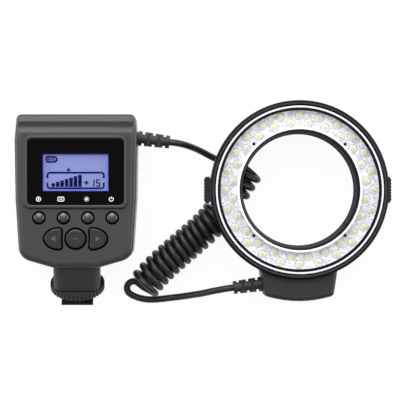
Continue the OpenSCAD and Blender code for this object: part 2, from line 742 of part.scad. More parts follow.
module battery_contacts() {
    color("silver") unit_place() for (i = [0 : 3], end = [-1, 1]) let (sprung = (i % 2 == 0) == (end < 0))
        translate([(i - 1.5) * cell_pitch, bay_low + bay_l / 2 + end * bay_l / 2, cell_z])
            rotate([end * 90, 0, 0]) {
            translate([-contact_w / 2, -contact_w / 2, 0]) cube([contact_w, contact_w, contact_t]);
            if (sprung) tube([for (j = [0 : cone_turns * cone_steps])
                let (n = j / cone_turns / cone_steps,
                r = cone_low_r + (cone_top_r - cone_low_r) * n, a = 360 * cone_turns * n)
                [r * cos(a), r * sin(a), contact_t + (spring_l - cone_wire / 2) * n]], cone_wire / 2, 6,
                    [0, 0, 1]);
        }
}

module storage_capacitor() {
    cap_r = 5;
    cap_l = 24;
    color("midnightblue") unit_place()
        translate([-cap_l / 2, bay_low - bay_wall - cap_r - 0.3, floor_z + cap_r])
        rotate([0, 90, 0]) cylinder(r = cap_r, h = cap_l);
}

module case_screws() {
    color("silver") unit_place() for (p = case_posts) translate([p[0], p[1], case_head_z])
        screw(case_head_r, case_head_t, case_screw_r, case_screw_l);
}

module shoe_neck() {
    color("dimgray") shoe_place() difference() {
        translate([0, 0, -neck_in]) linear_extrude(neck_in) neck_shape(0);
        translate([0, 0, -neck_in / 2]) cylinder(r = stem_r + 0.02, h = neck_in);
    }
}

module shoe_foot() {
    color([0.1, 0.1, 0.1]) shoe_place() difference() {
        union() {
            translate([0, 0, -neck_in / 2]) cylinder(r = stem_r, h = neck_in / 2 + foot_z + 0.5);
            translate([-foot_w / 2, -foot_l / 2, foot_z]) cube([foot_w, foot_l, foot_t]);
        }
        translate([0, 0, foot_z + foot_t - insulator_t])
            cylinder(r = insulator_r + fit_gap, h = over + insulator_t);
    }
}

module wheel_outline() {
    polygon([for (i = [0 : wheel_ridges - 1], q = [[0, 0], [0.45, 0], [0.6, 1], [0.85, 1]])
        let (a = 360 * (i + q[0]) / wheel_ridges, r = wheel_r - q[1] * ridge_depth) [r * cos(a),
            r * sin(a)]]);
}

module lock_wheel() {
    color("black") shoe_place() translate([0, 0, wheel_z]) difference() {
        linear_extrude(wheel_t) wheel_outline();
        translate([0, 0, -over]) cylinder(r = stem_r + shaft_gap, h = wheel_t + 2 * over);
    }
}

module lock_washer() {
    color("silver") shoe_place() translate([0, 0, washer_z]) difference() {
        linear_extrude(washer_t) plate_shape(washer_w, washer_w, 2);
        translate([0, 0, -over]) cylinder(r = stem_r + shaft_gap, h = washer_t + 2 * over);
    }
}

module contact_insulator() {
    color("black") shoe_place() translate([0, 0, foot_z + foot_t - insulator_t]) difference() {
        cylinder(r = insulator_r, h = insulator_t);
        translate([0, 0, -over]) cylinder(r = contact_r + 0.02, h = insulator_t + 2 * over);
    }
}

module centre_contact() {
    color("gold") shoe_place() translate([0, 0, foot_z + foot_t - insulator_t])
        cylinder(r = contact_r, h = insulator_t + 0.2);
}

module unit_strain_relief() { color("black") unit_place() at_unit_relief() relief(unit_relief_l, wall); }

// Ring head
module spots(n, r, first) { for (i = [0 : n - 1]) rotate(first + i * 360 / n) translate([r, 0, 0])
    children(); }
module collar_spots() { spots(4, collar_post_ring, 45) children(); }

module ring_housing() {
    color([0.12, 0.12, 0.13]) head_place() difference() {
        union() {
            rotate_extrude($fn = 96) polygon([[tray_in_r, collar_d], [tray_r, collar_d],
                [tray_r, tray_top],
                [tray_r - tray_wall, tray_top], [tray_r - tray_wall, collar_d + tray_t],
                [tray_in_r, collar_d + tray_t]]);
            spots(4, plate_screw_r, 45) translate([0, 0, collar_d + 1])
                cylinder(r = plate_post_r, h = plate_z - collar_d - 1);
        }
        collar_spots() translate([0, 0, collar_d - over])
            cylinder(r = collar_shank_r + 0.05, h = tray_t + 2 * over);
        spots(4, plate_screw_r, 45) translate([0, 0, collar_d + tray_t]) cylinder(r = 0.55, h = 6);
    }
}

module ring_collar() {
    cheek_in = lever_w / 2 + slide_gap;
    color([0.12, 0.12, 0.13]) head_place() difference() {
        union() {
            cylinder(r = collar_r, h = collar_d, $fn = 96);
            collar_spots() translate([0, 0, collar_post_z])
                cylinder(r = collar_post_r, h = collar_d - collar_post_z);
            for (m = [0, 1], s = [-1, 1]) mirror([m, 0, 0])
                translate([collar_r - 2 * collar_t, s > 0 ? cheek_in : -cheek_in - cheek_t, cheek_z])
                    cube([pin_x + 2 * pin_r - collar_r + 2 * collar_t, cheek_t, collar_d - cheek_z]);
        }
        translate([0, 0, -over]) cylinder(r = collar_r - collar_t, h = collar_d + 2 * over, $fn = 96);
        for (m = [0, 1]) mirror([m, 0, 0]) {
            translate([collar_r - 2 * collar_t, -window_w / 2, window_low])
                cube([3 * collar_t, window_w, window_high - window_low]);
            translate([pin_x, -lever_w, pin_z]) rotate([-90, 0, 0])
                cylinder(r = pin_r + 0.02, h = 2 * lever_w);
        }
        collar_spots() translate([0, 0, collar_post_z - over]) {
            cylinder(r = collar_head_r + fit_gap, h = over + collar_head_t);
            cylinder(r = collar_shank_r + 0.05, h = collar_d);
        }
    }
}

module front_rim() {
    soft_r = 1.2;
    color([0.05, 0.05, 0.05]) head_place() rotate_extrude($fn = 96) polygon(concat(
        [[tray_r - tray_wall, tray_top], [rim_r, tray_top], [rim_r, front_z - soft_r]],
        [for (a = [15 : 15 : 75]) [rim_r - soft_r + soft_r * cos(a), front_z - soft_r + soft_r * sin(a)]],
        [[rim_r - soft_r, front_z], [rim_in_r + 0.6, front_z], [rim_in_r, front_z - 0.6],
            [rim_in_r, cover_z],
         [rim_in_r - ledge, cover_z], [rim_in_r - ledge, cover_z - 1.2],
             [tray_r - tray_wall, cover_z - 1.9]]));
}

module clear_cover() {
    bevel = 0.5;
    color("white", 0.3) head_place() rotate_extrude($fn = 96) polygon([[tray_in_r + fit_gap, cover_z],
        [rim_in_r - fit_gap, cover_z], [rim_in_r - fit_gap, cover_z + cover_t - bevel],
        [rim_in_r - fit_gap - bevel, cover_z + cover_t], [tray_in_r + fit_gap, cover_z + cover_t]]);
}

module each_lamp(low, high) {
    step = 360 / row_lamps;
    for (i = [0 : row_lamps - 1]) {
        if (i * step >= low && i * step < high) rotate(90 + i * step) translate([outer_row_r, 0, 0])
            children();
        if ((i + 0.5) * step >= low && (i + 0.5) * step < high)
            rotate(90 + (i + 0.5) * step) translate([inner_row_r, 0, 0]) children();
    }
}

module reflector_plate() {
    color("white") head_place() difference() {
        rotate_extrude($fn = 96) polygon([[tray_in_r + fit_gap, plate_z], [plate_r, plate_z],
            [plate_r, cover_z - 1.4],
            [plate_r - 0.5, cover_z - 1.4], [plate_r - 0.9, plate_z + plate_t],
                [tray_in_r + fit_gap, plate_z + plate_t]]);
        each_lamp(0, 360) translate([0, 0, plate_z - over])
            cylinder(r = lamp_r + 0.1, h = plate_t + 2 * over, $fn = 24);
        spots(4, plate_screw_r, 45) translate([0, 0, plate_z - over])
            cylinder(r = 0.6, h = plate_t + 2 * over, $fn = 24);
    }
}

module led_board() {
    color("darkgreen") head_place() difference() {
        translate([0, 0, lamp_board_z]) cylinder(r = plate_r, h = board_t, $fn = 96);
        translate([0, 0, lamp_board_z - over])
            cylinder(r = tray_in_r + 0.2, h = board_t + 2 * over, $fn = 96);
        spots(4, plate_screw_r, 45) translate([0, 0, lamp_board_z - over])
            cylinder(r = plate_post_r + fit_gap, h = board_t + 2 * over);
    }
}

module lamp() {
    translate([0, 0, lamp_z]) cylinder(r = lamp_flange_r, h = 1, $fn = 24);
    translate([0, 0, lamp_z]) cylinder(r = lamp_r, h = lamp_top - lamp_z - lamp_r, $fn = 24);
    translate([0, 0, lamp_top - lamp_r]) sphere(r = lamp_r, $fn = 24);
}
module led_bank_left() { color("khaki") head_place() each_lamp(0, 180) lamp(); }
module led_bank_right() { color("khaki") head_place() each_lamp(180, 360) lamp(); }

module inner_ring() {
    color([0.05, 0.05, 0.05]) head_place() rotate_extrude($fn = 96)
        polygon([[opening_r, collar_d - inner_flange_t],
        [inner_flange_r, collar_d - inner_flange_t], [inner_flange_r, collar_d],
            [tray_in_r - fit_gap, collar_d],
        [tray_in_r - fit_gap, cover_z + cover_t], [tray_in_r + ledge, cover_z + cover_t],
        [tray_in_r + ledge - 0.2, cover_z + cover_t + lip_t],
            [tray_in_r - 0.5, cover_z + cover_t + lip_t]]);
}

// The cable block through rows of [height, inset], shaped by two arcs about the head's centre
module block_form(levels) {
    difference() {
        loft([for (l = levels) l[0]], [for (l = levels) block_outline(l[1])]);
        translate([0, 0, -over]) cylinder(r = collar_r + fit_gap, h = block_top + 2 * over, $fn = 96);
        translate([0, 0, collar_d]) cylinder(r = rim_r + 0.3, h = light_d, $fn = 96);
        at_ring_relief() relief_hole(wall);
        at_ring_relief() rotate([0, 90, 0]) translate([0, 0, -wall - 3 * relief_flange_t])
            cylinder(r = relief_flange_r + fit_gap, h = 3 * relief_flange_t);
    }
}
module block_spots() { for (s = [-1, 1]) translate([s * block_screw_x, block_screw_y, block_low])
    children(); }

module block_base() {
    color([0.22, 0.22, 0.23]) head_place() difference() {
        block_form([[block_low, block_edge], [block_low + block_edge, 0], [block_split, 0]]);
        block_spots() {
            translate([0, 0, -over]) cylinder(r = collar_head_r + fit_gap, h = over + 4);
            cylinder(r = collar_shank_r + 0.05, h = block_top);
        }
    }
}

module block_cover() {
    color([0.22, 0.22, 0.23]) head_place() difference() {
        block_form([[block_split, 0], [block_top - block_edge, 0], [block_top - 0.6, 0.6],
            [block_top, block_edge]]);
        block_spots() cylinder(r = collar_shank_r + 0.05, h = 16);
    }
}

module block_screws() {
    color("silver") head_place() block_spots() translate([0, 0, block_low - collar_head_t])
        screw(collar_head_r, collar_head_t, collar_shank_r, block_screw_l);
}

module ring_strain_relief() { color("black") head_place() at_ring_relief() relief(ring_relief_l, wall); }

// Release lever on the +X side: ribbed pad above its pin, claw below it
module release_lever() {
    pad_x = lever_x + lever_t;
    pad_pitch = lever_w / pad_ribs;
    color([0.1, 0.1, 0.1]) head_place() difference() {
        union() {
            translate([lever_x, -lever_w / 2, claw_z]) cube([lever_t, lever_w, pad_top - claw_z]);
            translate([pad_x - over, -lever_w / 2, pin_z + 1])
                cube([rim_r + pad_proud - rib_r - pad_x + over, lever_w, pad_top - pin_z - 1]);
            for (i = [0 : pad_ribs - 1]) translate([rim_r + pad_proud - rib_r,
                (i + 0.5) * pad_pitch - lever_w / 2, pin_z + 1])
                translate([-over, -pad_pitch / 4, 0])
                    cube([over + rib_r, pad_pitch / 2, pad_top - pin_z - 1]);
            translate([collar_r - collar_t - claw_in, -window_w / 2 + 0.8, claw_z])
                cube([lever_x - collar_r + collar_t + claw_in + over, window_w - 1.6, claw_t]);
        }
        translate([pin_x, -lever_w, pin_z]) rotate([-90, 0, 0])
            cylinder(r = pin_r + shaft_gap, h = 2 * lever_w);
        translate([lever_x - over, 0, spring_z]) rotate([0, 90, 0])
            cylinder(r = spring_r + 0.4, h = over + spring_seat);
    }
}
module release_lever_right() { release_lever(); }
module release_lever_left() {
    head_place() mirror([1, 0, 0]) rotate([0, -lean, 0])
        translate([-head_cx, -head_cy, -collar_r * sin(lean)]) release_lever();
}

module lever_pins() {
    pin_l = lever_w + 2 * slide_gap + 2 * cheek_t;
    color("silver") head_place() for (m = [0, 1]) mirror([m, 0, 0])
        translate([pin_x, -pin_l / 2, pin_z]) rotate([-90, 0, 0]) cylinder(r = pin_r, h = pin_l);
}

// A small coil spring between the collar and the lever's seat
module release_spring(side) {
    low = collar_r + spring_wire;
    high = lever_x + spring_seat - spring_wire;
    color("silver") head_place() mirror([side < 0 ? 1 : 0, 0, 0])
        tube([for (j = [0 : spring_turns * 8]) let (n = j / 8)
            [low + (high - low) * n / spring_turns, (spring_r - spring_wire) * cos(360 * n),
                spring_z + (spring_r - spring_wire) * sin(360 * n)]],
            spring_wire / 2, 6, [1, 0, 0]);
}
module release_spring_left() { release_spring(-1); }
module release_spring_right() { release_spring(1); }

module plate_screws() {
    color("black") head_place() spots(4, plate_screw_r, 45) translate([0, 0, plate_z + plate_t]) {
        cylinder(r = plate_screw_head, h = plate_head_t, $fn = 24);
        translate([0, 0, -plate_t - plate_screw_in])
            cylinder(r = plate_shank_r, h = plate_t + plate_screw_in, $fn = 24);
    }
}

module collar_screws() {
    color("silver") head_place() collar_spots() translate([0, 0, collar_post_z])
        screw(collar_head_r, collar_head_t, collar_shank_r, collar_d + tray_t - collar_post_z);
}

// Cord, from the head's strain relief to the unit's
module cord_lower() { color([0.08, 0.08, 0.09]) tube(lower_path, cord_d / 2, 8); }
module cord_coil() { color([0.08, 0.08, 0.09]) tube(outer_coil, cord_d / 2, 6, flat(curl_heading)); }
module cord_link() { color([0.08, 0.08, 0.09]) tube(link_path, cord_d / 2, 8); }
module cord_inner_coil() { color([0.08, 0.08, 0.09])
    tube(inner_coil, cord_d / 2, 6, flat(inner_heading)); }
module cord_upper() { color([0.08, 0.08, 0.09]) tube(upper_path, cord_d / 2, 8); }

front_shell();
rear_shell();
display_window();
lcd_panel();
lcd_backlight();
main_board();
board_screws();
keypad_mat();
pilot_button();
mode_button();
light_button();
power_button();
left_button();
select_button();
right_button();
battery_door();
battery_cells();
battery_contacts();
storage_capacitor();
case_screws();
shoe_neck();
shoe_foot();
lock_wheel();
lock_washer();
centre_contact();
contact_insulator();
unit_strain_relief();
ring_housing();
ring_collar();
front_rim();
clear_cover();
reflector_plate();
led_board();
led_bank_left();
led_bank_right();
inner_ring();
block_base();
block_cover();
block_screws();
ring_strain_relief();
release_lever_left();
release_lever_right();
lever_pins();
release_spring_left();
release_spring_right();
plate_screws();
collar_screws();
cord_lower();
cord_coil();
cord_link();
cord_inner_coil();
cord_upper();
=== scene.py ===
# %% [markdown]
# # A macro ring flash
# A control unit, a ring of lamps and the curly cord between them lie on a white table. The CAD model
# comes in as a fixed frame. Each cell below gives one piece its finish, or a smoother skin that
# stands in for a solid whose curves are faceted.

# %% Load the frame
import math

import bpy
from mathutils import Matrix, Vector


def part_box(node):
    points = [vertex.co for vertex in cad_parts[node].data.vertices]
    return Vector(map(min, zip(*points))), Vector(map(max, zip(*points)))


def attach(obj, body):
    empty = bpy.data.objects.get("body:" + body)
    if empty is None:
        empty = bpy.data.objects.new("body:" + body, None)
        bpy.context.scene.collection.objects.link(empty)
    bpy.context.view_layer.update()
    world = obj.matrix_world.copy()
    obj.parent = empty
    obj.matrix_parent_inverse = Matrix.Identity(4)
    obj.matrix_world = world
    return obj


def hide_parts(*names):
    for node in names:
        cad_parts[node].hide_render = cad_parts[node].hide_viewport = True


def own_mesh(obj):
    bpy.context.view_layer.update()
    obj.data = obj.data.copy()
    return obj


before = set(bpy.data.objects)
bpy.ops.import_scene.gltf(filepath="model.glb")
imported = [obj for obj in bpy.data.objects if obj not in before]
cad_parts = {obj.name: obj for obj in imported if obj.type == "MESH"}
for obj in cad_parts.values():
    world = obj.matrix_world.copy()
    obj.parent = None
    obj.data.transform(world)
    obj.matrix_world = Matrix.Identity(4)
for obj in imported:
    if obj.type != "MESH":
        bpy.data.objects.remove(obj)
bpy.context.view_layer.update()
MM = 0.001

# %% [markdown]
# ## Finishes
# Colours are written as a designer notes them, as hexadecimal sRGB, and turned into the linear values
# that shaders use. Moulded plastic has a fine grain: a noise texture on Object coordinates bends the
# normals a little, so that highlights break up as they do on spark-eroded tools.

# %% A helper for moulded and polished finishes
GRAIN_SIZE, GRAIN_DETAIL, GRAIN_DEPTH = 0.35 * MM, 2, 0.05 * MM


def linear(hex_colour):
    parts = [int(hex_colour[i : i + 2], 16) / 255 for i in (1, 3, 5)]
    return [p / 12.92 if p <= 0.04045 else ((p + 0.055) / 1.055) ** 2.4 for p in parts] + [1.0]


def new_finish(name, hex_colour, roughness, metallic=0.0, shine=0.5, grain=0.0):
    finish = bpy.data.materials.new(name)
    finish.use_nodes = True
    nodes, links = finish.node_tree.nodes, finish.node_tree.links
    shader = nodes["Principled BSDF"]
    shader.inputs["Base Color"].default_value = linear(hex_colour)
    shader.inputs["Roughness"].default_value = roughness
    shader.inputs["Metallic"].default_value = metallic
    shader.inputs["Specular IOR Level"].default_value = shine
    if grain:
        place = nodes.new("ShaderNodeTexCoord")
        noise = nodes.new("ShaderNodeTexNoise")
        noise.inputs["Scale"].default_value = 1 / GRAIN_SIZE
        noise.inputs["Detail"].default_value = GRAIN_DETAIL
        bump = nodes.new("ShaderNodeBump")
        bump.inputs["Strength"].default_value = grain
        bump.inputs["Distance"].default_value = GRAIN_DEPTH
        links.new(place.outputs["Object"], noise.inputs["Vector"])
        links.new(noise.outputs["Fac"], bump.inputs["Height"])
        links.new(bump.outputs["Normal"], shader.inputs["Normal"])
    return finish


# %% The finishes
casing_plastic = new_finish("casing plastic", "#2a282c", 0.34, shine=0.45, grain=0.25)
neck_plastic = new_finish("neck plastic", "#302f30", 0.45, shine=0.3, grain=0.25)
button_plastic = new_finish("button plastic", "#19171b", 0.22, shine=0.45, grain=0.15)
dome_plastic = new_finish("dome plastic", "#0d0c0f", 0.22, shine=0.95, grain=0.15)
black_plastic = new_finish("black plastic", "#1b1b1d", 0.4, shine=0.35, grain=0.2)
block_plastic = new_finish("block plastic", "#232325", 0.4, shine=0.3, grain=0.25)
gloss_black = new_finish("gloss black", "#0e0e10", 0.35, shine=0.1)
bevel_black = new_finish("bevel black", "#0a0a0b", 0.55, shine=0.02)
cord_rubber = new_finish("cord rubber", "#19191b", 0.36, shine=0.4, grain=0.1)
grip_rubber = new_finish("grip rubber", "#1d1d1f", 0.45, shine=0.4, grain=0.2)
board_green = new_finish("board green", "#14532d", 0.4)
backlight_white = new_finish("backlight white", "#e8e8ee", 0.5)
cell_sleeve = new_finish("cell sleeve", "#b98a1e", 0.3)
nickel = new_finish("nickel", "#c9c7c0", 0.3, metallic=1.0)
zinc = new_finish("zinc", "#a9a9ac", 0.35, metallic=1.0)
foot_black = new_finish("foot black", "#0f0f10", 0.4, shine=0.3, grain=0.15)
gold = new_finish("gold", "#d9b25a", 0.25, metallic=1.0)
capacitor_sleeve = new_finish("capacitor sleeve", "#10131f", 0.3)
screw_black = new_finish("screw black", "#060607", 0.5, shine=0.1)
print("finishes:", len(bpy.data.materials))

# %% Give each CAD piece its finish
finish_of = {
    casing_plastic: ["front_shell", "rear_shell", "battery_door"],
    neck_plastic: ["lock_wheel", "shoe_neck"],
    button_plastic: ["left_button", "select_button", "right_button"],
    dome_plastic: ["pilot_button", "mode_button", "light_button", "power_button"],
    black_plastic: ["contact_insulator", "ring_housing", "ring_collar",
                    "release_lever_left", "release_lever_right"],
    block_plastic: ["block_base", "block_cover"],
    gloss_black: ["front_rim"],
    bevel_black: ["inner_ring"],
    grip_rubber: ["unit_strain_relief", "ring_strain_relief", "keypad_mat"],
    board_green: ["main_board", "led_board"],
    backlight_white: ["lcd_backlight"],
    cell_sleeve: ["battery_cells"],
    nickel: ["battery_contacts"],
    zinc: ["board_screws", "case_screws", "block_screws", "collar_screws", "lever_pins",
           "release_spring_left", "release_spring_right"],
    foot_black: ["shoe_foot", "lock_washer"],
    gold: ["centre_contact"],
    capacitor_sleeve: ["storage_capacitor"],
    screw_black: ["plate_screws"],
}


def paint(node_name, finish):
    node_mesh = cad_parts[node_name].data
    node_mesh.materials.clear()
    node_mesh.materials.append(finish)


for finish, node_names in finish_of.items():
    for node_name in node_names:
        paint(node_name, finish)
print("painted:", sum(len(names) for names in finish_of.values()))

# %% [markdown]
# ## Meshes by hand
# Most skins here are lofts: the same outline at several heights, drawn in a little near the edges. A
# helper turns rows of points into a closed mesh, another cuts one closed mesh with another.

# %% Helpers for closed meshes


def add_object(name, data):
    made = bpy.data.objects.new(name, data)
    bpy.context.scene.collection.objects.link(made)
    return made


def new_piece(name, points, faces, finish):
    mesh = bpy.data.meshes.new(name)
    mesh.from_pydata([Vector(p) * MM for p in points], [], faces)
    mesh.materials.append(finish)
    return add_object(name, mesh)


def loft(name, rows, finish):
    """A closed skin through rows of equally many (x, y, z) points, lowest row first."""
    count = len(rows[0])
    faces = [tuple(reversed(range(count)))]
    for i in range(len(rows) - 1):
        for k in range(count):
            a, b = i * count + k, i * count + (k + 1) % count
            faces.append((a, b, b + count, a + count))
    faces.append(tuple(range((len(rows) - 1) * count, len(rows) * count)))
    return new_piece(name, [p for row in rows for p in row], faces, finish)


def prism(points, low, high):
    return loft("cutter", [[(x, y, z) for x, y in points] for z in (low, high)], casing_plastic)


def circle_points(x, y, r, count=48):
    return [(x + r * math.cos(2 * math.pi * k / count), y + r * math.sin(2 * math.pi * k / count))
            for k in range(count)]


def rounded_rectangle(x, y, w, h, r, steps=8):
    points = []
    for sx, sy, start in ((1, 1, 0), (-1, 1, 90), (-1, -1, 180), (1, -1, 270)):
        for k in range(steps + 1):
            angle = math.radians(start + 90 * k / steps)
            points.append((x + sx * (w / 2 - r) + r * math.cos(angle),
                           y + sy * (h / 2 - r) + r * math.sin(angle)))
    return points


print("helpers for outlines and closed meshes")

# %% Helpers that cut and smooth meshes


def freeze(piece):
    """Turns the piece with its modifiers into a plain mesh."""
    graph = bpy.context.evaluated_depsgraph_get()
    mesh = bpy.data.meshes.new_from_object(piece.evaluated_get(graph))
    old_mesh = piece.data
    piece.modifiers.clear()
    piece.data = mesh
    mesh.name = piece.name
    bpy.data.meshes.remove(old_mesh)


def moved(piece, place):
    metre_place = place.copy()
    metre_place.translation *= MM
    piece.data.transform(metre_place)
    return piece


def combine(piece, tool, operation="DIFFERENCE"):
    step = piece.modifiers.new("combine", "BOOLEAN")
    step.operation = operation
    step.solver = "EXACT"
    step.object = tool
    freeze(piece)
    bpy.data.objects.remove(tool)


def smooth(piece, sharp_degrees=32):
    """Smooth shading that keeps flat faces flat and crisp edges crisp."""
    piece.data.shade_smooth()
    piece.data.set_sharp_from_angle(angle=math.radians(sharp_degrees))
    step = piece.modifiers.new("flat faces", "WEIGHTED_NORMAL")
    step.keep_sharp = True
    freeze(piece)


print("helpers for cuts and smooth shading")

# %% [markdown]
# ## The casing's outline
# The casing is a band stretched round a few circles, five on each side. The band leaves a circle and
# meets the next at the same normal, so drawing every circle in by the same amount gives a parallel
# outline. That makes the rounded edges simple: each row of the loft is the same band, drawn in.

# %% The band round the casing's circles
shell_low, shell_high = (Vector(corner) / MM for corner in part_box("front_shell"))
unit_x = (shell_low.x + shell_high.x) / 2
unit_y = shell_low.y
UNIT_D = 40.0
SPLIT_Z = 20.0
WALL = 2.2
half_circles = [(12, 8, 8), (24.7, 12.4, 8.7), (15.2, 41, 20), (23.75, 74.5, 12), (31.45, 86.5, 3.2)]
band_circles = half_circles + [(-x, y, r) for x, y, r in reversed(half_circles)]


def band_normal(a, b):
    dx, dy = b[0] - a[0], b[1] - a[1]
    return math.atan2(dy, dx) - math.acos((a[2] - b[2]) / math.hypot(dx, dy))


def band(inset, step=math.radians(4)):
    points = []
    count = len(band_circles)
    for i, (x, y, r) in enumerate(band_circles):
        start = band_normal(band_circles[i - 1], band_circles[i])
        swing = (band_normal(band_circles[i], band_circles[(i + 1) % count]) - start) % (2 * math.pi)
        steps = max(1, math.ceil(swing / step))
        for k in range(steps + 1):
            angle = start + swing * k / steps
            points.append((unit_x + x + (r - inset) * math.cos(angle),
                           unit_y + y + (r - inset) * math.sin(angle)))
    return points


def casing_form(name, levels):
    return loft(name, [[(x, y, z) for x, y in band(inset)] for z, inset in levels], casing_plastic)


print("band points:", len(band(0)))

# %% Rows of the two shells: height, and how far the band is drawn in
EDGE_R, REAR_TRIM = 2.6, 0.4
SEAM_EDGE = 0.3
LIP_RISE, LIP_FOOT, LIP_HEAD = 0.3, 0.2, 0.5
lip_z = UNIT_D - LIP_RISE
quarter = [math.radians(a) for a in range(0, 91, 15)]
front_levels = [(SPLIT_Z, SEAM_EDGE), (SPLIT_Z + SEAM_EDGE, 0)]
front_levels += [(lip_z - EDGE_R + EDGE_R * math.sin(a), EDGE_R * (1 - math.cos(a))) for a in quarter]
front_levels += [(lip_z, EDGE_R + LIP_FOOT), (UNIT_D, EDGE_R + LIP_HEAD)]
rear_levels = [(EDGE_R - EDGE_R * math.sin(a), (EDGE_R - REAR_TRIM) * (1 - math.cos(a)))
               for a in reversed(quarter)]
rear_levels += [(SPLIT_Z - SEAM_EDGE, 0), (SPLIT_Z, SEAM_EDGE)]
print("rows:", len(front_levels), "in front,", len(rear_levels), "behind")

# %% [markdown]
# ## Front shell
# The front shell is a hollow lid with a raised frame round the display, a shallow hollow across its
# forehead and holes for seven buttons. It's cut as the real mould is: a solid form, less its inside,
# less the openings.

# %% The face's sizes and the fin buttons' outline
DISPLAY_Y = 56.0
FRAME_W, FRAME_H, FRAME_CORNER, FRAME_RISE = 62.0, 43.9, 4.7, 1.5
PANE_W, PANE_H, PANE_CORNER, PANE_Z, PANE_SEAT = 56.2, 38.3, 3.0, 39.7, 3.5
SMALL_R, SMALL_PITCH, SMALL_Y = 3.0, 14.2, 29.2
SELECT_R, SELECT_Y = 5.6, 17.0
BUTTON_GAP, FIN_TRIM = 0.7, 0.1
FIN_IN, FIN_OUT, FIN_HALF, FIN_HEEL, FIN_HOLLOW = 8.1, 18.2, 6.0, 1.6, 0.3
CUT_UNDER, CUT_OVER = 1, 5
face_in = UNIT_D - WALL


def fin_points(gap, side):
    """The fin button's outline: half an ellipse outwards, rounded heels, a slight hollow inwards."""
    root = FIN_IN + FIN_HEEL
    points = []
    for a in range(-90, 91, 6):
        angle = math.radians(a)
        points.append((root + (FIN_OUT - root + gap) * math.cos(angle),
                       (FIN_HALF + gap) * math.sin(angle)))
    for end, first in ((1, 105), (-1, 180)):
        for a in range(first, first + 76, 15):
            angle = math.radians(a)
            points.append((root + (FIN_HEEL + gap) * math.cos(angle),
                           end * (FIN_HALF - FIN_HEEL) + (FIN_HEEL + gap) * math.sin(angle)))
        if end > 0:
            points += [(FIN_IN - gap + FIN_HOLLOW * (1 - t * t), t * (FIN_HALF - FIN_HEEL))
                       for t in (0.5, 0, -0.5)]
    points = [(unit_x + side * x, unit_y + SELECT_Y + y) for x, y in points]
    return points if side > 0 else points[::-1]


print("fin outline points:", len(fin_points(0, 1)))

# %% The forehead's profile
BROW_LOW, BROW_HIGH, BROW_DEPTH = 78.4, 86.2, 0.6
TOP_R, TOP_START, TOP_END = 5.2, 84.5, 89.69
FOREHEAD_STEPS, FOREHEAD_HALF = 60, 60
FOREHEAD_FLOOR, FOREHEAD_ROOF, FOREHEAD_PAST = 25, 46, 92


def forehead_z(y):
    """The forehead's height: a soft hollow, then a broad round down to the upper end."""
    z = UNIT_D
    if y < BROW_HIGH:
        z -= BROW_DEPTH / 2 * (1 - math.cos(2 * math.pi * (y - BROW_LOW) / (BROW_HIGH - BROW_LOW)))
    if y > TOP_START:
        z -= TOP_R - math.sqrt(TOP_R ** 2 - (y - TOP_START) ** 2)
    return z


def forehead_cutter():
    """All above the forehead's profile, as a prism that lies across the casing."""
    shares = [math.sin(math.pi / 2 * k / FOREHEAD_STEPS) for k in range(FOREHEAD_STEPS + 1)]
    heights = [BROW_LOW + (TOP_END - BROW_LOW) * share for share in shares]
    outline = [(-forehead_z(y), y) for y in heights]
    outline += [(-FOREHEAD_FLOOR, FOREHEAD_PAST), (-FOREHEAD_ROOF, FOREHEAD_PAST), (-FOREHEAD_ROOF, BROW_LOW)]
    lying = Matrix.Translation((unit_x, unit_y, 0)) @ Matrix.Rotation(math.pi / 2, 4, "Y")
    return moved(prism(outline, -FOREHEAD_HALF, FOREHEAD_HALF), lying)


print("forehead's lowest point, mm:", round(forehead_z((BROW_LOW + BROW_HIGH) / 2), 2))

# %% Front shell
def display_loft(name, rows, w, h, corner):
    """A loft of rounded rectangles round the display's middle. A row is its height and its growth."""
    return loft(name, [
        [(x, y, z) for x, y in rounded_rectangle(
            unit_x, unit_y + DISPLAY_Y, w + 2 * wider, h + 2 * wider, corner + wider)]
        for z, wider in rows], casing_plastic)


front_skin = casing_form("front_skin", front_levels)
combine(front_skin, prism(band(WALL), SPLIT_Z - CUT_UNDER, face_in))
combine(front_skin, forehead_cutter())
frame_rows = [(UNIT_D - 0.6, 0), (UNIT_D, 0), (UNIT_D + 1.0, -0.7), (UNIT_D + 1.35, -1.0),
              (UNIT_D + FRAME_RISE, -1.5)]
display_frame = display_loft("display_frame", frame_rows, FRAME_W, FRAME_H, FRAME_CORNER)
combine(front_skin, display_frame, "UNION")
pane_rows = [(PANE_Z, 0.1), (UNIT_D + 0.9, 0.1), (UNIT_D + FRAME_RISE + 0.1, 0.9), (UNIT_D + CUT_OVER, 0.9)]
combine(front_skin, display_loft("pane_room", pane_rows, PANE_W, PANE_H, PANE_CORNER))
window_rows = [(face_in - CUT_UNDER, -PANE_SEAT), (UNIT_D + CUT_OVER, -PANE_SEAT)]
combine(front_skin, display_loft("window", window_rows, PANE_W, PANE_H, 1 + PANE_SEAT))
print("front shell faces:", len(front_skin.data.polygons))

# %% Button holes
CHAMFER, CHAMFER_OVER = 0.45, 0.1


def button_hole(outline):
    """Cuts a hole whose upper edge is broken by a small chamfer. outline(gap) gives its points."""
    rows = [(face_in - CUT_UNDER, 0), (UNIT_D + CHAMFER_OVER - CHAMFER, 0),
            (UNIT_D + CHAMFER_OVER, CHAMFER), (UNIT_D + CUT_OVER, CHAMFER)]
    hole_rows = [[(x, y, z) for x, y in outline(BUTTON_GAP + wider)] for z, wider in rows]
    combine(front_skin, loft("hole", hole_rows, casing_plastic))


for i in range(4):
    small_x = unit_x + (i - 1.5) * SMALL_PITCH
    button_hole(lambda gap: circle_points(small_x, unit_y + SMALL_Y, SMALL_R + gap))
button_hole(lambda gap: circle_points(unit_x, unit_y + SELECT_Y, SELECT_R + gap))
for side in (-1, 1):
    button_hole(lambda gap: fin_points(gap - FIN_TRIM, side))
print("front shell faces with holes:", len(front_skin.data.polygons))

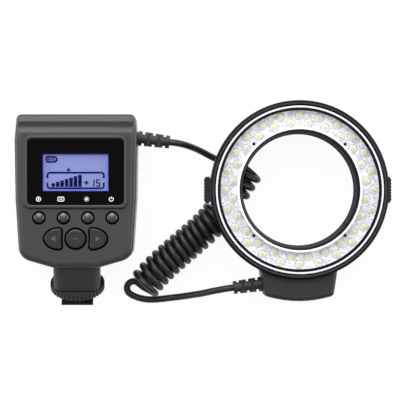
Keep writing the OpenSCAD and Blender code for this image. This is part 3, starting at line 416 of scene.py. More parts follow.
# %% [markdown]
# ## The neck's passage
# The shoe's neck leans out of the casing's lower end, half in each shell. Both skins are cut by the
# neck's own section, a little larger, set on the shoe's leaning axis.

# %% Cutters for the neck and the cord's grommet
SHOE_TILT, SHOE_LIFT = math.radians(30), 17.506
NECK_OUT, NECK_W, NECK_FRONT, NECK_BACK, NECK_IN = 8.0, 27.2, 11.5, 9.5, 19.5
NECK_CORNER, NECK_PLAY, NECK_PAST = 4.5, 0.1, 32
shoe_place = Matrix.Translation((unit_x, unit_y - NECK_OUT, SHOE_LIFT))
shoe_place = shoe_place @ Matrix.Rotation(math.pi / 2 + SHOE_TILT, 4, "X")
RELIEF_X, RELIEF_Y, RELIEF_DEGREES = 35.9, 76.0, -7
RELIEF_NECK_R, RELIEF_IN, RELIEF_OUT = 3.7, 6, 5
relief_place = Matrix.Translation((unit_x + RELIEF_X, unit_y + RELIEF_Y, SPLIT_Z))
relief_place = relief_place @ Matrix.Rotation(math.radians(RELIEF_DEGREES), 4, "Z")


def neck_cutter():
    section = rounded_rectangle(0, (NECK_FRONT - NECK_BACK) / 2, NECK_W + 2 * NECK_PLAY,
                                NECK_FRONT + NECK_BACK + 2 * NECK_PLAY, NECK_CORNER)
    return moved(prism(section, -NECK_IN - NECK_PLAY, NECK_PAST), shoe_place)


def relief_cutter():
    along_x = Matrix.Rotation(math.pi / 2, 4, "Y")
    return moved(prism(circle_points(0, 0, RELIEF_NECK_R), -RELIEF_IN, RELIEF_OUT), relief_place @ along_x)


print("neck leans by", round(math.degrees(SHOE_TILT)), "degrees")

# %% Rear shell with the battery bay and the door's tracks
FLOOR_Z = 3.6
DOOR_W, DOOR_LOW, DOOR_TOP, DOOR_PAST = 60.4, 19.5, 2.05, 120
TONGUE, TONGUE_LOW, SLIDE = 1.0, 1.1, 0.15
BAY_W, BAY_LOW, BAY_L, BAY_TOP, BAY_WALL = 58.7, 22.7, 58.0, 17.25, 1.3
SCREW_SPOTS = ((-28, 84.5), (28, 84.5), (-24.5, 9.5), (24.5, 9.5))
SCREW_SINK_R, SCREW_SINK_TOP = 2.4, 6


def rear_block(half_width, start, end, low, high):
    """A plain block across the middle of the casing."""
    corners = [(unit_x + sx * half_width, unit_y + y)
               for sx, y in ((-1, start), (1, start), (1, end), (-1, end))]
    return prism(corners, low, high)


rear_skin = casing_form("rear_skin", rear_levels)
combine(rear_skin, prism(band(WALL), FLOOR_Z, SPLIT_Z + CUT_UNDER))
bay_end = BAY_LOW + BAY_L
combine(rear_skin, rear_block(BAY_W / 2 + BAY_WALL, BAY_LOW - BAY_WALL, bay_end + BAY_WALL,
                              DOOR_TOP, BAY_TOP + BAY_WALL), "UNION")
combine(rear_skin, rear_block(BAY_W / 2, BAY_LOW, bay_end, -CUT_UNDER, BAY_TOP))
for half_width, low in ((DOOR_W / 2, -CUT_UNDER), (DOOR_W / 2 + TONGUE, TONGUE_LOW)):
    combine(rear_skin, rear_block(half_width + SLIDE, DOOR_LOW - SLIDE, DOOR_PAST, low, DOOR_TOP + SLIDE))
for x, y in SCREW_SPOTS:
    sink = circle_points(unit_x + x, unit_y + y, SCREW_SINK_R, 32)
    combine(rear_skin, prism(sink, -CUT_UNDER, SCREW_SINK_TOP))
print("rear shell faces:", len(rear_skin.data.polygons))

# %% Cut both shells for the neck and the grommet
for skin in (front_skin, rear_skin):
    combine(skin, neck_cutter())
    combine(skin, relief_cutter())
    smooth(skin)
    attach(skin, "root")
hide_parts("front_shell")
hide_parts("rear_shell")
print("shell faces:", len(front_skin.data.polygons), "and", len(rear_skin.data.polygons))

# %% [markdown]
# ## Display
# A black polished pane lies in the frame, clear where the liquid crystal shows through. One material
# does both: a mask on Object coordinates is 1 inside the viewing rectangle, where the pane lets light
# pass, and 0 outside it, where the back is printed black.

# %% Helpers for material nodes


def add_node(finish, kind, **values):
    node = finish.node_tree.nodes.new(kind)
    for key, value in values.items():
        if hasattr(node, key):
            setattr(node, key, value)
        else:
            node.inputs[key].default_value = value
    return node


def shader_of(finish):
    return finish.node_tree.nodes["Principled BSDF"]


def join(finish, *pairs):
    for out_socket, in_socket in pairs:
        finish.node_tree.links.new(out_socket, in_socket)


def sums(finish, operation, first, second):
    node = add_node(finish, "ShaderNodeMath", operation=operation)
    for socket, value in zip(node.inputs, (first, second)):
        if isinstance(value, (int, float)):
            socket.default_value = value
        else:
            finish.node_tree.links.new(value, socket)
    return node.outputs[0]


def mix_shaders(finish, share, first, second):
    """Shows two shaders mixed by a fixed share or by a socket."""
    mix = add_node(finish, "ShaderNodeMixShader")
    if isinstance(share, float):
        mix.inputs[0].default_value = share
    else:
        join(finish, (share, mix.inputs[0]))
    join(finish, (first, mix.inputs[1]), (second, mix.inputs[2]),
         (mix.outputs[0], finish.node_tree.nodes["Material Output"].inputs[0]))
    return mix.outputs[0]


def inside_rectangle(finish, centre, size):
    """A mask that is 1 inside the rectangle and 0 outside it."""
    place = add_node(finish, "ShaderNodeTexCoord")
    split = add_node(finish, "ShaderNodeSeparateXYZ")
    join(finish, (place.outputs["Object"], split.inputs[0]))
    masks = []
    for axis in (0, 1):
        offset = sums(finish, "SUBTRACT", split.outputs[axis], centre[axis])
        distance = sums(finish, "ABSOLUTE", offset, 0)
        masks.append(sums(finish, "LESS_THAN", distance, size[axis] / 2))
    return sums(finish, "MULTIPLY", masks[0], masks[1])


print("helpers for material nodes")

# %% The pane with its clear rectangle
LCD_W, LCD_H, LCD_DROP, LCD_BORDER = 38.3, 21.6, 0.4, 0.45
PANE_GLEAM = 0.006
lcd_centre = (unit_x * MM, (unit_y + DISPLAY_Y - LCD_DROP) * MM)
pane_finish = new_finish("display pane", "#060608", 0.12, shine=0.03)
pane_clear = add_node(pane_finish, "ShaderNodeBsdfTransparent")
pane_shine = add_node(pane_finish, "ShaderNodeBsdfGlossy", Roughness=0.05)
pane_open = mix_shaders(pane_finish, PANE_GLEAM, pane_clear.outputs[0], pane_shine.outputs[0])
pane_mask = inside_rectangle(pane_finish, lcd_centre, (LCD_W * MM, LCD_H * MM))
mix_shaders(pane_finish, pane_mask, shader_of(pane_finish).outputs[0], pane_open)
paint("display_window", pane_finish)
print("pane nodes:", len(pane_finish.node_tree.nodes))

# %% The liquid crystal with its darker border
LCD_GLOW = 0.15
lcd_blue = new_finish("liquid crystal blue", "#8a91d8", 0.5)
lcd_shader = shader_of(lcd_blue)
lcd_tone = add_node(lcd_blue, "ShaderNodeMix", data_type="RGBA")
lcd_tone.inputs[6].default_value = linear("#4448d8")
lcd_tone.inputs[7].default_value = linear("#646fa6")
lcd_field = [(size - 2 * LCD_BORDER) * MM for size in (LCD_W, LCD_H)]
lcd_mask = inside_rectangle(lcd_blue, lcd_centre, lcd_field)
join(lcd_blue, (lcd_mask, lcd_tone.inputs[0]), (lcd_tone.outputs[2], lcd_shader.inputs["Base Color"]),
     (lcd_tone.outputs[2], lcd_shader.inputs["Emission Color"]))
lcd_shader.inputs["Emission Strength"].default_value = LCD_GLOW
paint("lcd_panel", lcd_blue)
print("crystal field, m:", lcd_field)

# %% [markdown]
# ## Gaps round the buttons
# No light reaches the bottom of the narrow gaps, so their shade is painted: the buttons' finishes turn
# black below the casing's face and on their steep rims, and the walls of the holes get a black finish of
# their own.

# %% Dark gaps
GAP_DEPTH, GAP_TONE = 0.3, "#020202"
RIM_SLOPE, WALL_SLOPE = 0.8, 0.9
KEYS_HALF, KEYS_LOW, KEYS_HIGH = 27, 9, 34
gap_black = new_finish("gap black", GAP_TONE, 0.9, shine=0.05)


def paint_gap_shade(finish):
    """Painted shade: black and dull below the casing's face and on steep rims, the finish's own look
    elsewhere.
    """
    shader = shader_of(finish)
    colour, gleam = shader.inputs["Base Color"], shader.inputs["Specular IOR Level"]
    place = add_node(finish, "ShaderNodeTexCoord")
    height = add_node(finish, "ShaderNodeSeparateXYZ")
    form = add_node(finish, "ShaderNodeNewGeometry")
    slope = add_node(finish, "ShaderNodeSeparateXYZ")
    join(finish, (place.outputs["Object"], height.inputs[0]),
         (form.outputs["Normal"], slope.inputs[0]))
    above = sums(finish, "GREATER_THAN", height.outputs["Z"], (UNIT_D - GAP_DEPTH) * MM)
    flat = sums(finish, "GREATER_THAN", slope.outputs["Z"], RIM_SLOPE)
    shown = sums(finish, "MULTIPLY", above, flat)
    tone = add_node(finish, "ShaderNodeMix", data_type="RGBA")
    tone.inputs[6].default_value = linear(GAP_TONE)
    tone.inputs[7].default_value = list(colour.default_value)
    gloss = sums(finish, "MULTIPLY", shown, gleam.default_value)
    join(finish, (shown, tone.inputs[0]), (tone.outputs[2], colour), (gloss, gleam))


paint_gap_shade(button_plastic)
paint_gap_shade(dome_plastic)
# Painted shade: the walls of the button holes get the black finish.
front_skin.data.materials.append(gap_black)
wall_faces = 0
for face in front_skin.data.polygons:
    x, y, z = (value / MM for value in face.center)
    among_keys = abs(x - unit_x) < KEYS_HALF and KEYS_LOW < y - unit_y < KEYS_HIGH
    if among_keys and abs(face.normal.z) < WALL_SLOPE and z > face_in - 0.1:
        face.material_index = 1
        wall_faces += 1
print("dark wall faces:", wall_faces)

# %% [markdown]
# ## What the display shows
# The liquid crystal shows a battery, a pointer and a framed scale of rising bars with a plus and a plain
# figure. All of it is flat shapes just above the crystal, drawn on a grid that counts from the upper left.

# %% A collector of flat marks


class FlatMarks:
    """Collects flat prisms of one finish into one mesh."""

    def __init__(self, low, high):
        self.points, self.faces, self.low, self.high = [], [], low, high

    def add(self, outline):
        n, start = len(outline), len(self.points)
        area = sum(outline[k - 1][0] * outline[k][1] - outline[k][0] * outline[k - 1][1] for k in range(n))
        outline = outline if area > 0 else outline[::-1]
        self.points += [(x, y, self.low) for x, y in outline] + [(x, y, self.high) for x, y in outline]
        self.faces.append(tuple(start + k for k in reversed(range(n))))
        self.faces.append(tuple(start + n + k for k in range(n)))
        self.faces += [(start + k, start + (k + 1) % n, start + n + (k + 1) % n, start + n + k)
                       for k in range(n)]

    def bar(self, x0, y0, x1, y1):
        self.add([(x0, y0), (x1, y0), (x1, y1), (x0, y1)])

    def line(self, a, b, width):
        dx, dy = b[0] - a[0], b[1] - a[1]
        scale = width / 2 / math.hypot(dx, dy)
        nx, ny = -dy * scale, dx * scale
        self.add([(a[0] + nx, a[1] + ny), (a[0] - nx, a[1] - ny),
                  (b[0] - nx, b[1] - ny), (b[0] + nx, b[1] + ny)])

    def loop(self, outline, width):
        for k in range(len(outline)):
            self.line(outline[k - 1], outline[k], width)

    def piece(self, name, finish, body, slot):
        made = new_piece(name, self.points, self.faces, finish)
        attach(made, body)
        print(name, len(self.faces), "faces")


print("a collector of flat marks")

# %% Battery and pointer
LCD_TOP = 39.4
GRID, GRID_MIDDLE = 0.585, (75.6, 172.5)
segment_navy = new_finish("segment navy", "#030344", 0.6, shine=0.0)
segments = FlatMarks(LCD_TOP + 0.02, LCD_TOP + 0.06)


def lcd_point(across, down):
    """A point of the display's grid, on the unit's face."""
    return (unit_x + (across - GRID_MIDDLE[0]) * GRID,
            unit_y + DISPLAY_Y - LCD_DROP + (GRID_MIDDLE[1] - down) * GRID)


def lcd_bar(x0, y0, x1, y1):
    segments.bar(*lcd_point(x0, y1), *lcd_point(x1, y0))


BATTERY = ((46.6, 157), (55.2, 157), (57.4, 159.5), (55.2, 162), (46.6, 162))
POINTER = ((68.5, 167.6), (70.8, 171.0), (66.2, 171.0))
segments.loop([lcd_point(*p) for p in BATTERY], 1.05)
for k in range(3):
    lcd_bar(48 + 2.5 * k, 158.3, 49.6 + 2.5 * k, 160.7)
segments.add([lcd_point(*p) for p in POINTER])
print("display marks:", len(segments.faces))

# %% Framed scale with a plus
SCALE_LEFT, SCALE_RIGHT, SCALE_TOP, SCALE_BOTTOM = 47.6, 103.7, 172.7, 188.2
SCALE_CORNER, SCALE_SIDE, SCALE_LINE = 1.8, 5.6, 1.1
BARS, BAR_LEFT, BAR_PITCH, BAR_W, BAR_FOOT, BAR_FIRST, BAR_STEP = 7, 51.6, 4.42, 3.6, 186.8, 3.6, 1.4
for y, inward in ((SCALE_TOP, 1), (SCALE_BOTTOM, -1)):
    corner = [(0, SCALE_SIDE), (0, SCALE_CORNER), (SCALE_CORNER / 3, SCALE_CORNER / 3), (SCALE_CORNER, 0)]
    way = [(SCALE_LEFT + across, y + inward * down) for across, down in corner]
    way += [(SCALE_RIGHT - across, y + inward * down) for across, down in reversed(corner)]
    for a, b in zip(way, way[1:]):
        segments.line(lcd_point(*a), lcd_point(*b), SCALE_LINE)
for k in range(BARS):
    left = BAR_LEFT + BAR_PITCH * k
    lcd_bar(left, BAR_FOOT - BAR_FIRST - BAR_STEP * k, left + BAR_W, BAR_FOOT)
for plus_bar in ((84.1, 182, 88.5, 183.4), (85.6, 180.5, 87, 185)):
    lcd_bar(*plus_bar)
print("display marks:", len(segments.faces))

# %% Figure of seven bars
DIGIT_W, DIGIT_H, DIGIT_LINE, DIGIT_TOP = 4, 7.2, 1.2, 179.4
DIGIT_BARS = {"1": "bc", "5": "afgcd"}


def lcd_digit(left, figure):
    w, h, t = DIGIT_W, DIGIT_H, DIGIT_LINE
    bars = {"a": (0, 0, w, t), "g": (0, (h - t) / 2, w, (h + t) / 2), "d": (0, h - t, w, h),
            "f": (0, 0, t, h / 2), "b": (w - t, 0, w, h / 2), "c": (w - t, h / 2, w, h)}
    for name in DIGIT_BARS[figure]:
        x0, y0, x1, y1 = bars[name]
        lcd_bar(left + x0, DIGIT_TOP + y0, left + x1, DIGIT_TOP + y1)


lcd_digit(90.4, "1")
lcd_digit(96, "5")
segments.piece("lcd_segments", segment_navy, "root", "lcd")

# %% [markdown]
# ## Printed signs
# Under the display the pane carries a pale sign for each small button: a pilot lamp, a frame, a sun and
# a stand-by sign.

# %% Signs on the pane
PANE_TOP, SIGN_Y, SIGN_LINE = 41.2, 40.1, 0.4
RAY_IN, RAY_OUT, RAY_LINE = 0.95, 1.5, 0.32
sign_white = new_finish("sign white", "#f2f2f2", 0.5)
signs = FlatMarks(PANE_TOP + 0.005, PANE_TOP + 0.03)
sign_y = unit_y + SIGN_Y
pilot_x, frame_x, sun_x, standby_x = (unit_x + x for x in (-21.5, -8.5, 6.5, 20.8))


def around(x, r, degrees):
    angle = math.radians(degrees)
    return x + r * math.cos(angle), sign_y + r * math.sin(angle)


signs.add(circle_points(pilot_x, sign_y, 0.5, 20))
signs.loop(circle_points(pilot_x, sign_y, 1.25, 28), SIGN_LINE)
signs.loop(rounded_rectangle(frame_x, sign_y, 3.6, 2.3, 0.5, 3), SIGN_LINE)
signs.bar(frame_x - 0.9, sign_y - 0.22, frame_x + 0.9, sign_y + 0.22)
signs.add(circle_points(sun_x, sign_y, 0.62, 20))
for degrees in range(0, 360, 45):
    signs.line(around(sun_x, RAY_IN, degrees), around(sun_x, RAY_OUT, degrees), RAY_LINE)
standby_arc = [around(standby_x, 1.2, degrees) for degrees in range(125, 416, 15)]
for a, b in zip(standby_arc, standby_arc[1:]):
    signs.line(a, b, SIGN_LINE)
signs.bar(standby_x - 0.2, sign_y + 0.1, standby_x + 0.2, sign_y + 1.5)
signs.piece("pane_signs", sign_white, "root", "window")

# %% [markdown]
# ## Arrows on the fin buttons
# Each fin button has a small raised arrow that points outwards, and the round button a short raised
# bar. They're thin plates of a paler plastic that ride on their button's body, so that they go down
# when it's pressed.

# %% Raised arrows
BUTTON_TOP, MARK_SINK, MARK_RISE = 41.0, 0.05, 0.15
ARROW_X, ARROW_TIP, ARROW_BACK, ARROW_HALF = 12.9, 1.5, 1.2, 1.6
DASH_HALF_W, DASH_HALF_H = 1.8, 0.25
mark_grey = new_finish("mark grey", "#413f43", 0.5)
key_y = unit_y + SELECT_Y
for side, body in ((-1, "left_button"), (1, "right_button")):
    arrow = FlatMarks(BUTTON_TOP - MARK_SINK, BUTTON_TOP + MARK_RISE)
    tip, back = (unit_x + side * x for x in (ARROW_X + ARROW_TIP, ARROW_X - ARROW_BACK))
    arrow.add([(tip, key_y), (back, key_y + ARROW_HALF), (back, key_y - ARROW_HALF)])
    arrow.piece("arrow_" + body, mark_grey, body, "button")
dash = FlatMarks(BUTTON_TOP - MARK_SINK, BUTTON_TOP + MARK_RISE)
dash.bar(unit_x - DASH_HALF_W, key_y - DASH_HALF_H, unit_x + DASH_HALF_W, key_y + DASH_HALF_H)
dash.piece("bar_select_button", mark_grey, "select_button", "button")

# %% [markdown]
# ## Ring head
# A white reflector with soft lavender patches lies under a clear ring-shaped cover. The cover is thin
# acrylic, which at this size is drawn well by a mix: mostly transparent, a little polished. Near its rim
# it's opaque, black as painted shade, with one pale ring as a painted reflection of its edge. The rim
# and the inner ring carry painted highlights and shade in rings. The lamps are clear lenses with a yellow
# chip inside.

# %% Reflector
PLATE_TONES = ((0.43, "#dbd8e7"), (0.55, "#ffffff"))
plate_white = new_finish("reflector white", "#e9e7f1", 0.35)
plate_place = add_node(plate_white, "ShaderNodeTexCoord")
plate_noise = add_node(plate_white, "ShaderNodeTexNoise", Scale=430.0, Detail=3.0, Distortion=1.0)
plate_tones = add_node(plate_white, "ShaderNodeValToRGB")
for stop, (position, hex_colour) in zip(plate_tones.color_ramp.elements, PLATE_TONES):
    stop.position, stop.color = position, linear(hex_colour)
join(plate_white, (plate_place.outputs["Object"], plate_noise.inputs["Vector"]),
     (plate_noise.outputs["Fac"], plate_tones.inputs[0]),
     (plate_tones.outputs[0], shader_of(plate_white).inputs["Base Color"]))
paint("reflector_plate", plate_white)
print("reflector nodes:", len(plate_white.node_tree.nodes))

# %% The head's place and colours in rings
LEAN = math.radians(2.8828)
RIM_MID = 26.5
rim_low, rim_high = (Vector(corner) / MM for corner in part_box("front_rim"))
head_centre = (rim_low + rim_high) / 2
head_place = Matrix.Translation(head_centre) @ Matrix.Rotation(LEAN, 4, "Y")
head_place = head_place @ Matrix.Translation((0, 0, -RIM_MID))


def head_radius(finish):
    """The distance of a point from the leaning axis of the head."""
    place = add_node(finish, "ShaderNodeTexCoord")
    turned = add_node(finish, "ShaderNodeMapping", vector_type="TEXTURE",
                      Location=head_centre * MM, Rotation=(0, LEAN, 0))
    split = add_node(finish, "ShaderNodeSeparateXYZ")
    join(finish, (place.outputs["Object"], turned.inputs["Vector"]),
         (turned.outputs[0], split.inputs[0]))
    squares = [sums(finish, "MULTIPLY", split.outputs[axis], split.outputs[axis]) for axis in (0, 1)]
    return sums(finish, "POWER", sums(finish, "ADD", *squares), 0.5)


def ring_tones(finish, tones):
    """Colours a turned piece in rings: each tone is the radius it starts at, in mm, and its colour."""
    radius = head_radius(finish)
    last = None
    for start, hex_colour in tones:
        mix = add_node(finish, "ShaderNodeMix", data_type="RGBA")
        mix.inputs[6].default_value = mix.inputs[7].default_value = linear(hex_colour)
        if last:
            join(finish, (last, mix.inputs[6]))
        join(finish, (sums(finish, "GREATER_THAN", radius, start * MM), mix.inputs[0]))
        last = mix.outputs[2]
    join(finish, (last, shader_of(finish).inputs["Base Color"]))
    return radius


print("head's middle, mm:", [round(value, 1) for value in head_centre])

# %% Cover, rim, inner ring and lenses
# Radii where the cover's painted bands start: painted shade by the reflector, a pale painted reflection of
# its edge, painted shade under the rim.
SHADE_EDGE, GLINT_EDGE, SEAT_EDGE = 46.6, 48.3, 49.4
COVER_GLEAM, COVER_SOLID, LENS_GLEAM = 0.05, 0.93, 0.08


def clear_finish(name, hex_colour, gleam):
    finish = new_finish(name, hex_colour, 0.05)
    clear = add_node(finish, "ShaderNodeBsdfTransparent")
    mix_shaders(finish, gleam, clear.outputs[0], shader_of(finish).outputs[0])
    return finish


cover_clear = clear_finish("clear cover", "#000000", COVER_GLEAM)
shader_of(cover_clear).inputs["Specular IOR Level"].default_value = 0.2
cover_radius = ring_tones(cover_clear, [(0, "#0a0a0b"), (SHADE_EDGE, "#050506"),
                                        (GLINT_EDGE, "#d2d4dc"), (SEAT_EDGE, "#050506")])
cover_opaque = sums(cover_clear, "GREATER_THAN", cover_radius, SHADE_EDGE * MM)
cover_solid = sums(cover_clear, "MULTIPLY", cover_opaque, COVER_SOLID)
cover_share = sums(cover_clear, "ADD", cover_solid, COVER_GLEAM)
join(cover_clear, (cover_share, cover_clear.node_tree.nodes["Mix Shader"].inputs[0]))
# The rim: painted shade on its inner lip and outer round, a grey painted highlight across its flat top.
ring_tones(gloss_black, [(0, "#040405"), (50.3, "#2f2f32"), (51.4, "#030304")])
# The inner ring: painted shade at its deep end, a grey painted highlight across its slope, a line of painted
# shade where it meets the reflector, and white like the reflector from 35.5 mm out.
ring_tones(bevel_black, [(0, "#040405"), (33.2, "#343436"), (34.4, "#030304"), (35.5, "#e4e3ec")])
lens_clear = clear_finish("lamp lens", "#f6f7f0", LENS_GLEAM)
paint("clear_cover", cover_clear)
for bank in ("led_bank_left", "led_bank_right"):
    paint(bank, lens_clear)
print("cover nodes:", len(cover_clear.node_tree.nodes))

# %% [markdown]
# ## Lamp chips
# Every lamp sits on a pale seat and shows a yellow-green dot, its chip. They repeat on two rows, so
# Geometry Nodes sets one small disc on each point: the points are a mesh of bare vertices, and the tree's
# inputs are the disc's size and thickness.

# %% A tree that sets a disc on every point
DISC_SIDES, DISC_T = 20, 0.3


def disc_tree(name, finish):
    tree = bpy.data.node_groups.new(name, "GeometryNodeTree")
    for socket, way, kind in (("Geometry", "INPUT", "Geometry"), ("Radius", "INPUT", "Float"),
                              ("Thickness", "INPUT", "Float"), ("Geometry", "OUTPUT", "Geometry")):
        tree.interface.new_socket(socket, in_out=way, socket_type="NodeSocket" + kind)
    nodes, links = tree.nodes, tree.links
    inputs, outputs = nodes.new("NodeGroupInput"), nodes.new("NodeGroupOutput")
    disc = nodes.new("GeometryNodeMeshCylinder")
    disc.inputs["Vertices"].default_value = DISC_SIDES
    scatter = nodes.new("GeometryNodeInstanceOnPoints")
    realize = nodes.new("GeometryNodeRealizeInstances")
    dress = nodes.new("GeometryNodeSetMaterial")
    dress.inputs["Material"].default_value = finish
    for out_socket, in_socket in (
            (inputs.outputs["Radius"], disc.inputs["Radius"]),
            (inputs.outputs["Thickness"], disc.inputs["Depth"]),
            (inputs.outputs["Geometry"], scatter.inputs["Points"]),
            (disc.outputs["Mesh"], scatter.inputs["Instance"]),
            (scatter.outputs["Instances"], realize.inputs["Geometry"]),
            (realize.outputs["Geometry"], dress.inputs["Geometry"]),
            (dress.outputs["Geometry"], outputs.inputs["Geometry"])):
        links.new(out_socket, in_socket)
    return tree


def set_discs(name, points, finish, radius):
    mesh = bpy.data.meshes.new(name)
    mesh.from_pydata([p * MM for p in points], [], [])
    piece = add_object(name, mesh)
    step = piece.modifiers.new("discs", "NODES")
    step.node_group = disc_tree(name + " tree", finish)
    sizes = {"Radius": radius * MM, "Thickness": DISC_T * MM}
    for item in step.node_group.interface.items_tree:
        if item.in_out == "INPUT" and item.name in sizes:
            step[item.identifier] = sizes[item.name]
    freeze(piece)
    return piece


print("a tree for discs")

# %% Seats and chips of the lamps
ROW_LAMPS, OUTER_ROW, INNER_ROW = 24, 43.8, 39.5
SEAT_Z, SEAT_R, CHIP_Z, CHIP_R = 24.3, 2.45, 25.6, 1.05
chip_yellow = new_finish("chip yellow", "#dcea86", 0.5)
seat_white = new_finish("seat white", "#f4f4f8", 0.4)


def lamp_points(z):
    points = []
    for k in range(ROW_LAMPS):
        for radius, shift in ((OUTER_ROW, 0), (INNER_ROW, 0.5)):
            angle = math.radians(90 + (k + shift) * 360 / ROW_LAMPS)
            points.append(head_place @ Vector((radius * math.cos(angle), radius * math.sin(angle), z)))
    return points


for name, z, finish, radius in (("lamp_seats", SEAT_Z, seat_white, SEAT_R),
                                ("lamp_chips", CHIP_Z, chip_yellow, CHIP_R)):
    discs = set_discs(name, lamp_points(z), finish, radius)
    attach(discs, "root")
print("lamps:", 2 * ROW_LAMPS)

# %% [markdown]
# ## Curly cord
# One cord runs from the head to the unit. It drops to the table, turns back on itself, winds up into
# thirteen curls, passes under the collar, winds three more curls inside the opening and climbs to the
# unit. The curls are true helices; between them a smooth line goes through a few chosen points.

# %% Curls and the smooth line
CORD_D = 4.0
CORD_Z = CORD_D / 2
CURL_STEPS, LINE_STEPS = 12, 3
CURL_PITCH, CURL_HEADING = 4.5, 40.3
FAN_TURNS, FAN_PITCH, FAN_HEADING = 2.0, 1.4, 16
BEND_START, BEND_PITCH, BEND_HEADING = 9.5, 0.45, 3
INNER_PITCH, INNER_HEADING = 5.78, 57.0


def flat(degrees):
    return Vector((math.cos(math.radians(degrees)), math.sin(math.radians(degrees)), 0))


def outer_way(n):
    """Pitch and heading after n turns: fanned at the start, even, then bent round the collar."""
    fade, bent = math.exp(-n / FAN_TURNS), max(0.0, n - BEND_START)
    pitch = CURL_PITCH + FAN_PITCH * fade + (BEND_PITCH if bent else 0)
    return pitch, CURL_HEADING + FAN_HEADING * fade + BEND_HEADING * bent


def inner_way(_):
    return INNER_PITCH, INNER_HEADING


def coil(start, way, r, count, turn):
    """A helix that lies on the table along a bent axis."""
    axis = Vector((start[0], start[1], CORD_Z + r))
    points = []
    for j in range(count * CURL_STEPS + 1):
        n = j / CURL_STEPS
        across = turn * flat(way(n)[1] - 90)
        angle = 2 * math.pi * n
        points.append(axis + r * (math.sin(angle) * across - Vector((0, 0, math.cos(angle)))))
        pitch, heading = way(n + 0.5 / CURL_STEPS)
        axis = axis + pitch / CURL_STEPS * flat(heading)
    return points


def smooth_line(points):
    """An even Catmull-Rom line through the points, never lower than the table allows."""
    points = [2 * points[0] - points[1]] + points + [2 * points[-1] - points[-2]]
    line = []
    for p0, p1, p2, p3 in zip(points, points[1:], points[2:], points[3:]):
        t1 = (p1 - p0).length ** 0.5
        t2 = t1 + (p2 - p1).length ** 0.5
        t3 = t2 + (p3 - p2).length ** 0.5
        for k in range(LINE_STEPS):
            share = k / LINE_STEPS
            t = t1 + (t2 - t1) * k / LINE_STEPS
            middle = p1.lerp(p2, share)
            before = p0.lerp(p1, t / t1).lerp(middle, t / t2)
            after = middle.lerp(p2.lerp(p3, (t - t2) / (t3 - t2)), (t - t1) / (t3 - t1))
            line.append(before.lerp(after, share))
    line.append(points[-2])
    return [Vector((point.x, point.y, max(point.z, CORD_Z))) for point in line]


outer_curls = coil((-36.6, -50.2), outer_way, 8.2, 13, 1)
inner_curls = coil((18.4, 3.35), inner_way, 5.4, 3, -1)
print("points on the curls:", len(outer_curls), "and", len(inner_curls))

# %% The cord's line from the head to the unit
RING_RELIEF_L, UNIT_RELIEF_L = 16.8, 18.7
RELIEF_FOOT, RELIEF_HEADING = Vector((-21.5, -55.6, 14)), 187.5
TURN_X, TURN_Y, TURN_R, TURN_ANGLES = -42.2, -50.9, 4.05, (232, 205, 178, 150, 122, 94, 66)
head_tip = [head_place @ (RELIEF_FOOT + length * flat(RELIEF_HEADING))
            for length in (RING_RELIEF_L, RING_RELIEF_L + CORD_D)]
unit_foot = Vector((unit_x + RELIEF_X, unit_y + RELIEF_Y, SPLIT_Z))
unit_tip = [unit_foot + length * flat(RELIEF_DEGREES) for length in (UNIT_RELIEF_L + CORD_D, UNIT_RELIEF_L)]
lower_route = [(4.2, -52.4, 14.8), (-1.8, -53.8, 11), (-7.8, -54.9, 7), (-13.8, -55.9, 4), (-20, -56.7, 2.4),
               (-26, -57.4, CORD_Z), (-31, -57.75, CORD_Z), (-36, -57.45, CORD_Z), (-40.9, -56.1, CORD_Z)]
for angle in TURN_ANGLES:
    way = TURN_R * flat(angle)
    lower_route.append((TURN_X + way.x, TURN_Y + way.y, CORD_Z))
link_route = [(14.6, -10.3, CORD_Z), (17.8, -9.7, CORD_Z), (20.4, -7.6, CORD_Z), (21.8, -4.4, CORD_Z),
              (21.9, -1.2, CORD_Z), (20.7, 1.2, CORD_Z)]
upper_route = [(24.6, 20.6, CORD_Z), (20.2, 22.5, CORD_Z), (15.8, 23.7, CORD_Z), (11.4, 24.75, CORD_Z),
               (7.2, 26.1, 2.1), (3.2, 28, 3.1), (-0.8, 30.1, 5.4), (-4.8, 31.95, 9.3),
               (-8.8, 33.45, 13.8), (-12.8, 34.6, 17.4)]
routes = [[Vector(p) for p in route] for route in (lower_route, link_route, upper_route)]
cord_line = smooth_line(head_tip + routes[0] + outer_curls + routes[1] + inner_curls + routes[2] + unit_tip)

# %% The cord itself
def tube(name, line, thickness, finish):
    curve = bpy.data.curves.new(name, "CURVE")
    curve.dimensions = "3D"
    curve.bevel_depth = thickness / 2 * MM
    curve.bevel_resolution = 4
    curve.use_fill_caps = True
    spline = curve.splines.new("POLY")
    spline.points.add(len(line) - 1)
    for point, place in zip(spline.points, line):
        point.co = (*(place * MM), 1)
    curve.materials.append(finish)
    return add_object(name, curve)


curly_cord = tube("curly_cord", cord_line, CORD_D, cord_rubber)
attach(curly_cord, "root")
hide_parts("cord_lower", "cord_coil", "cord_link", "cord_inner_coil", "cord_upper")
print("cord points:", len(cord_line))

# %% [markdown]
# ## Release levers
# Each lever is a plain arm with a pad that stands out past the rim. The pad has round corners and upright
# ribs for the finger. It flares only outside the cheeks that hold the lever's pin.

# %% Release levers
PAD_ROOT, PAD_FLARE, PAD_FACE, PAD_LOW, PAD_TOP = 51.0, 52.35, 55.05, 9.0, 16.2
PAD_NECK, PAD_HALF, PAD_CORNER, PAD_EDGE = 6.9, 7.8, 1.3, 0.4
RIBS, RIB_OUT, RIB_STEPS, CORNER_STEPS = 7, 0.42, 8, 6
TRIM_IN, TRIM_OUT, TRIM_HALF, TRIM_PAST = 0.6, 5, 9, 3


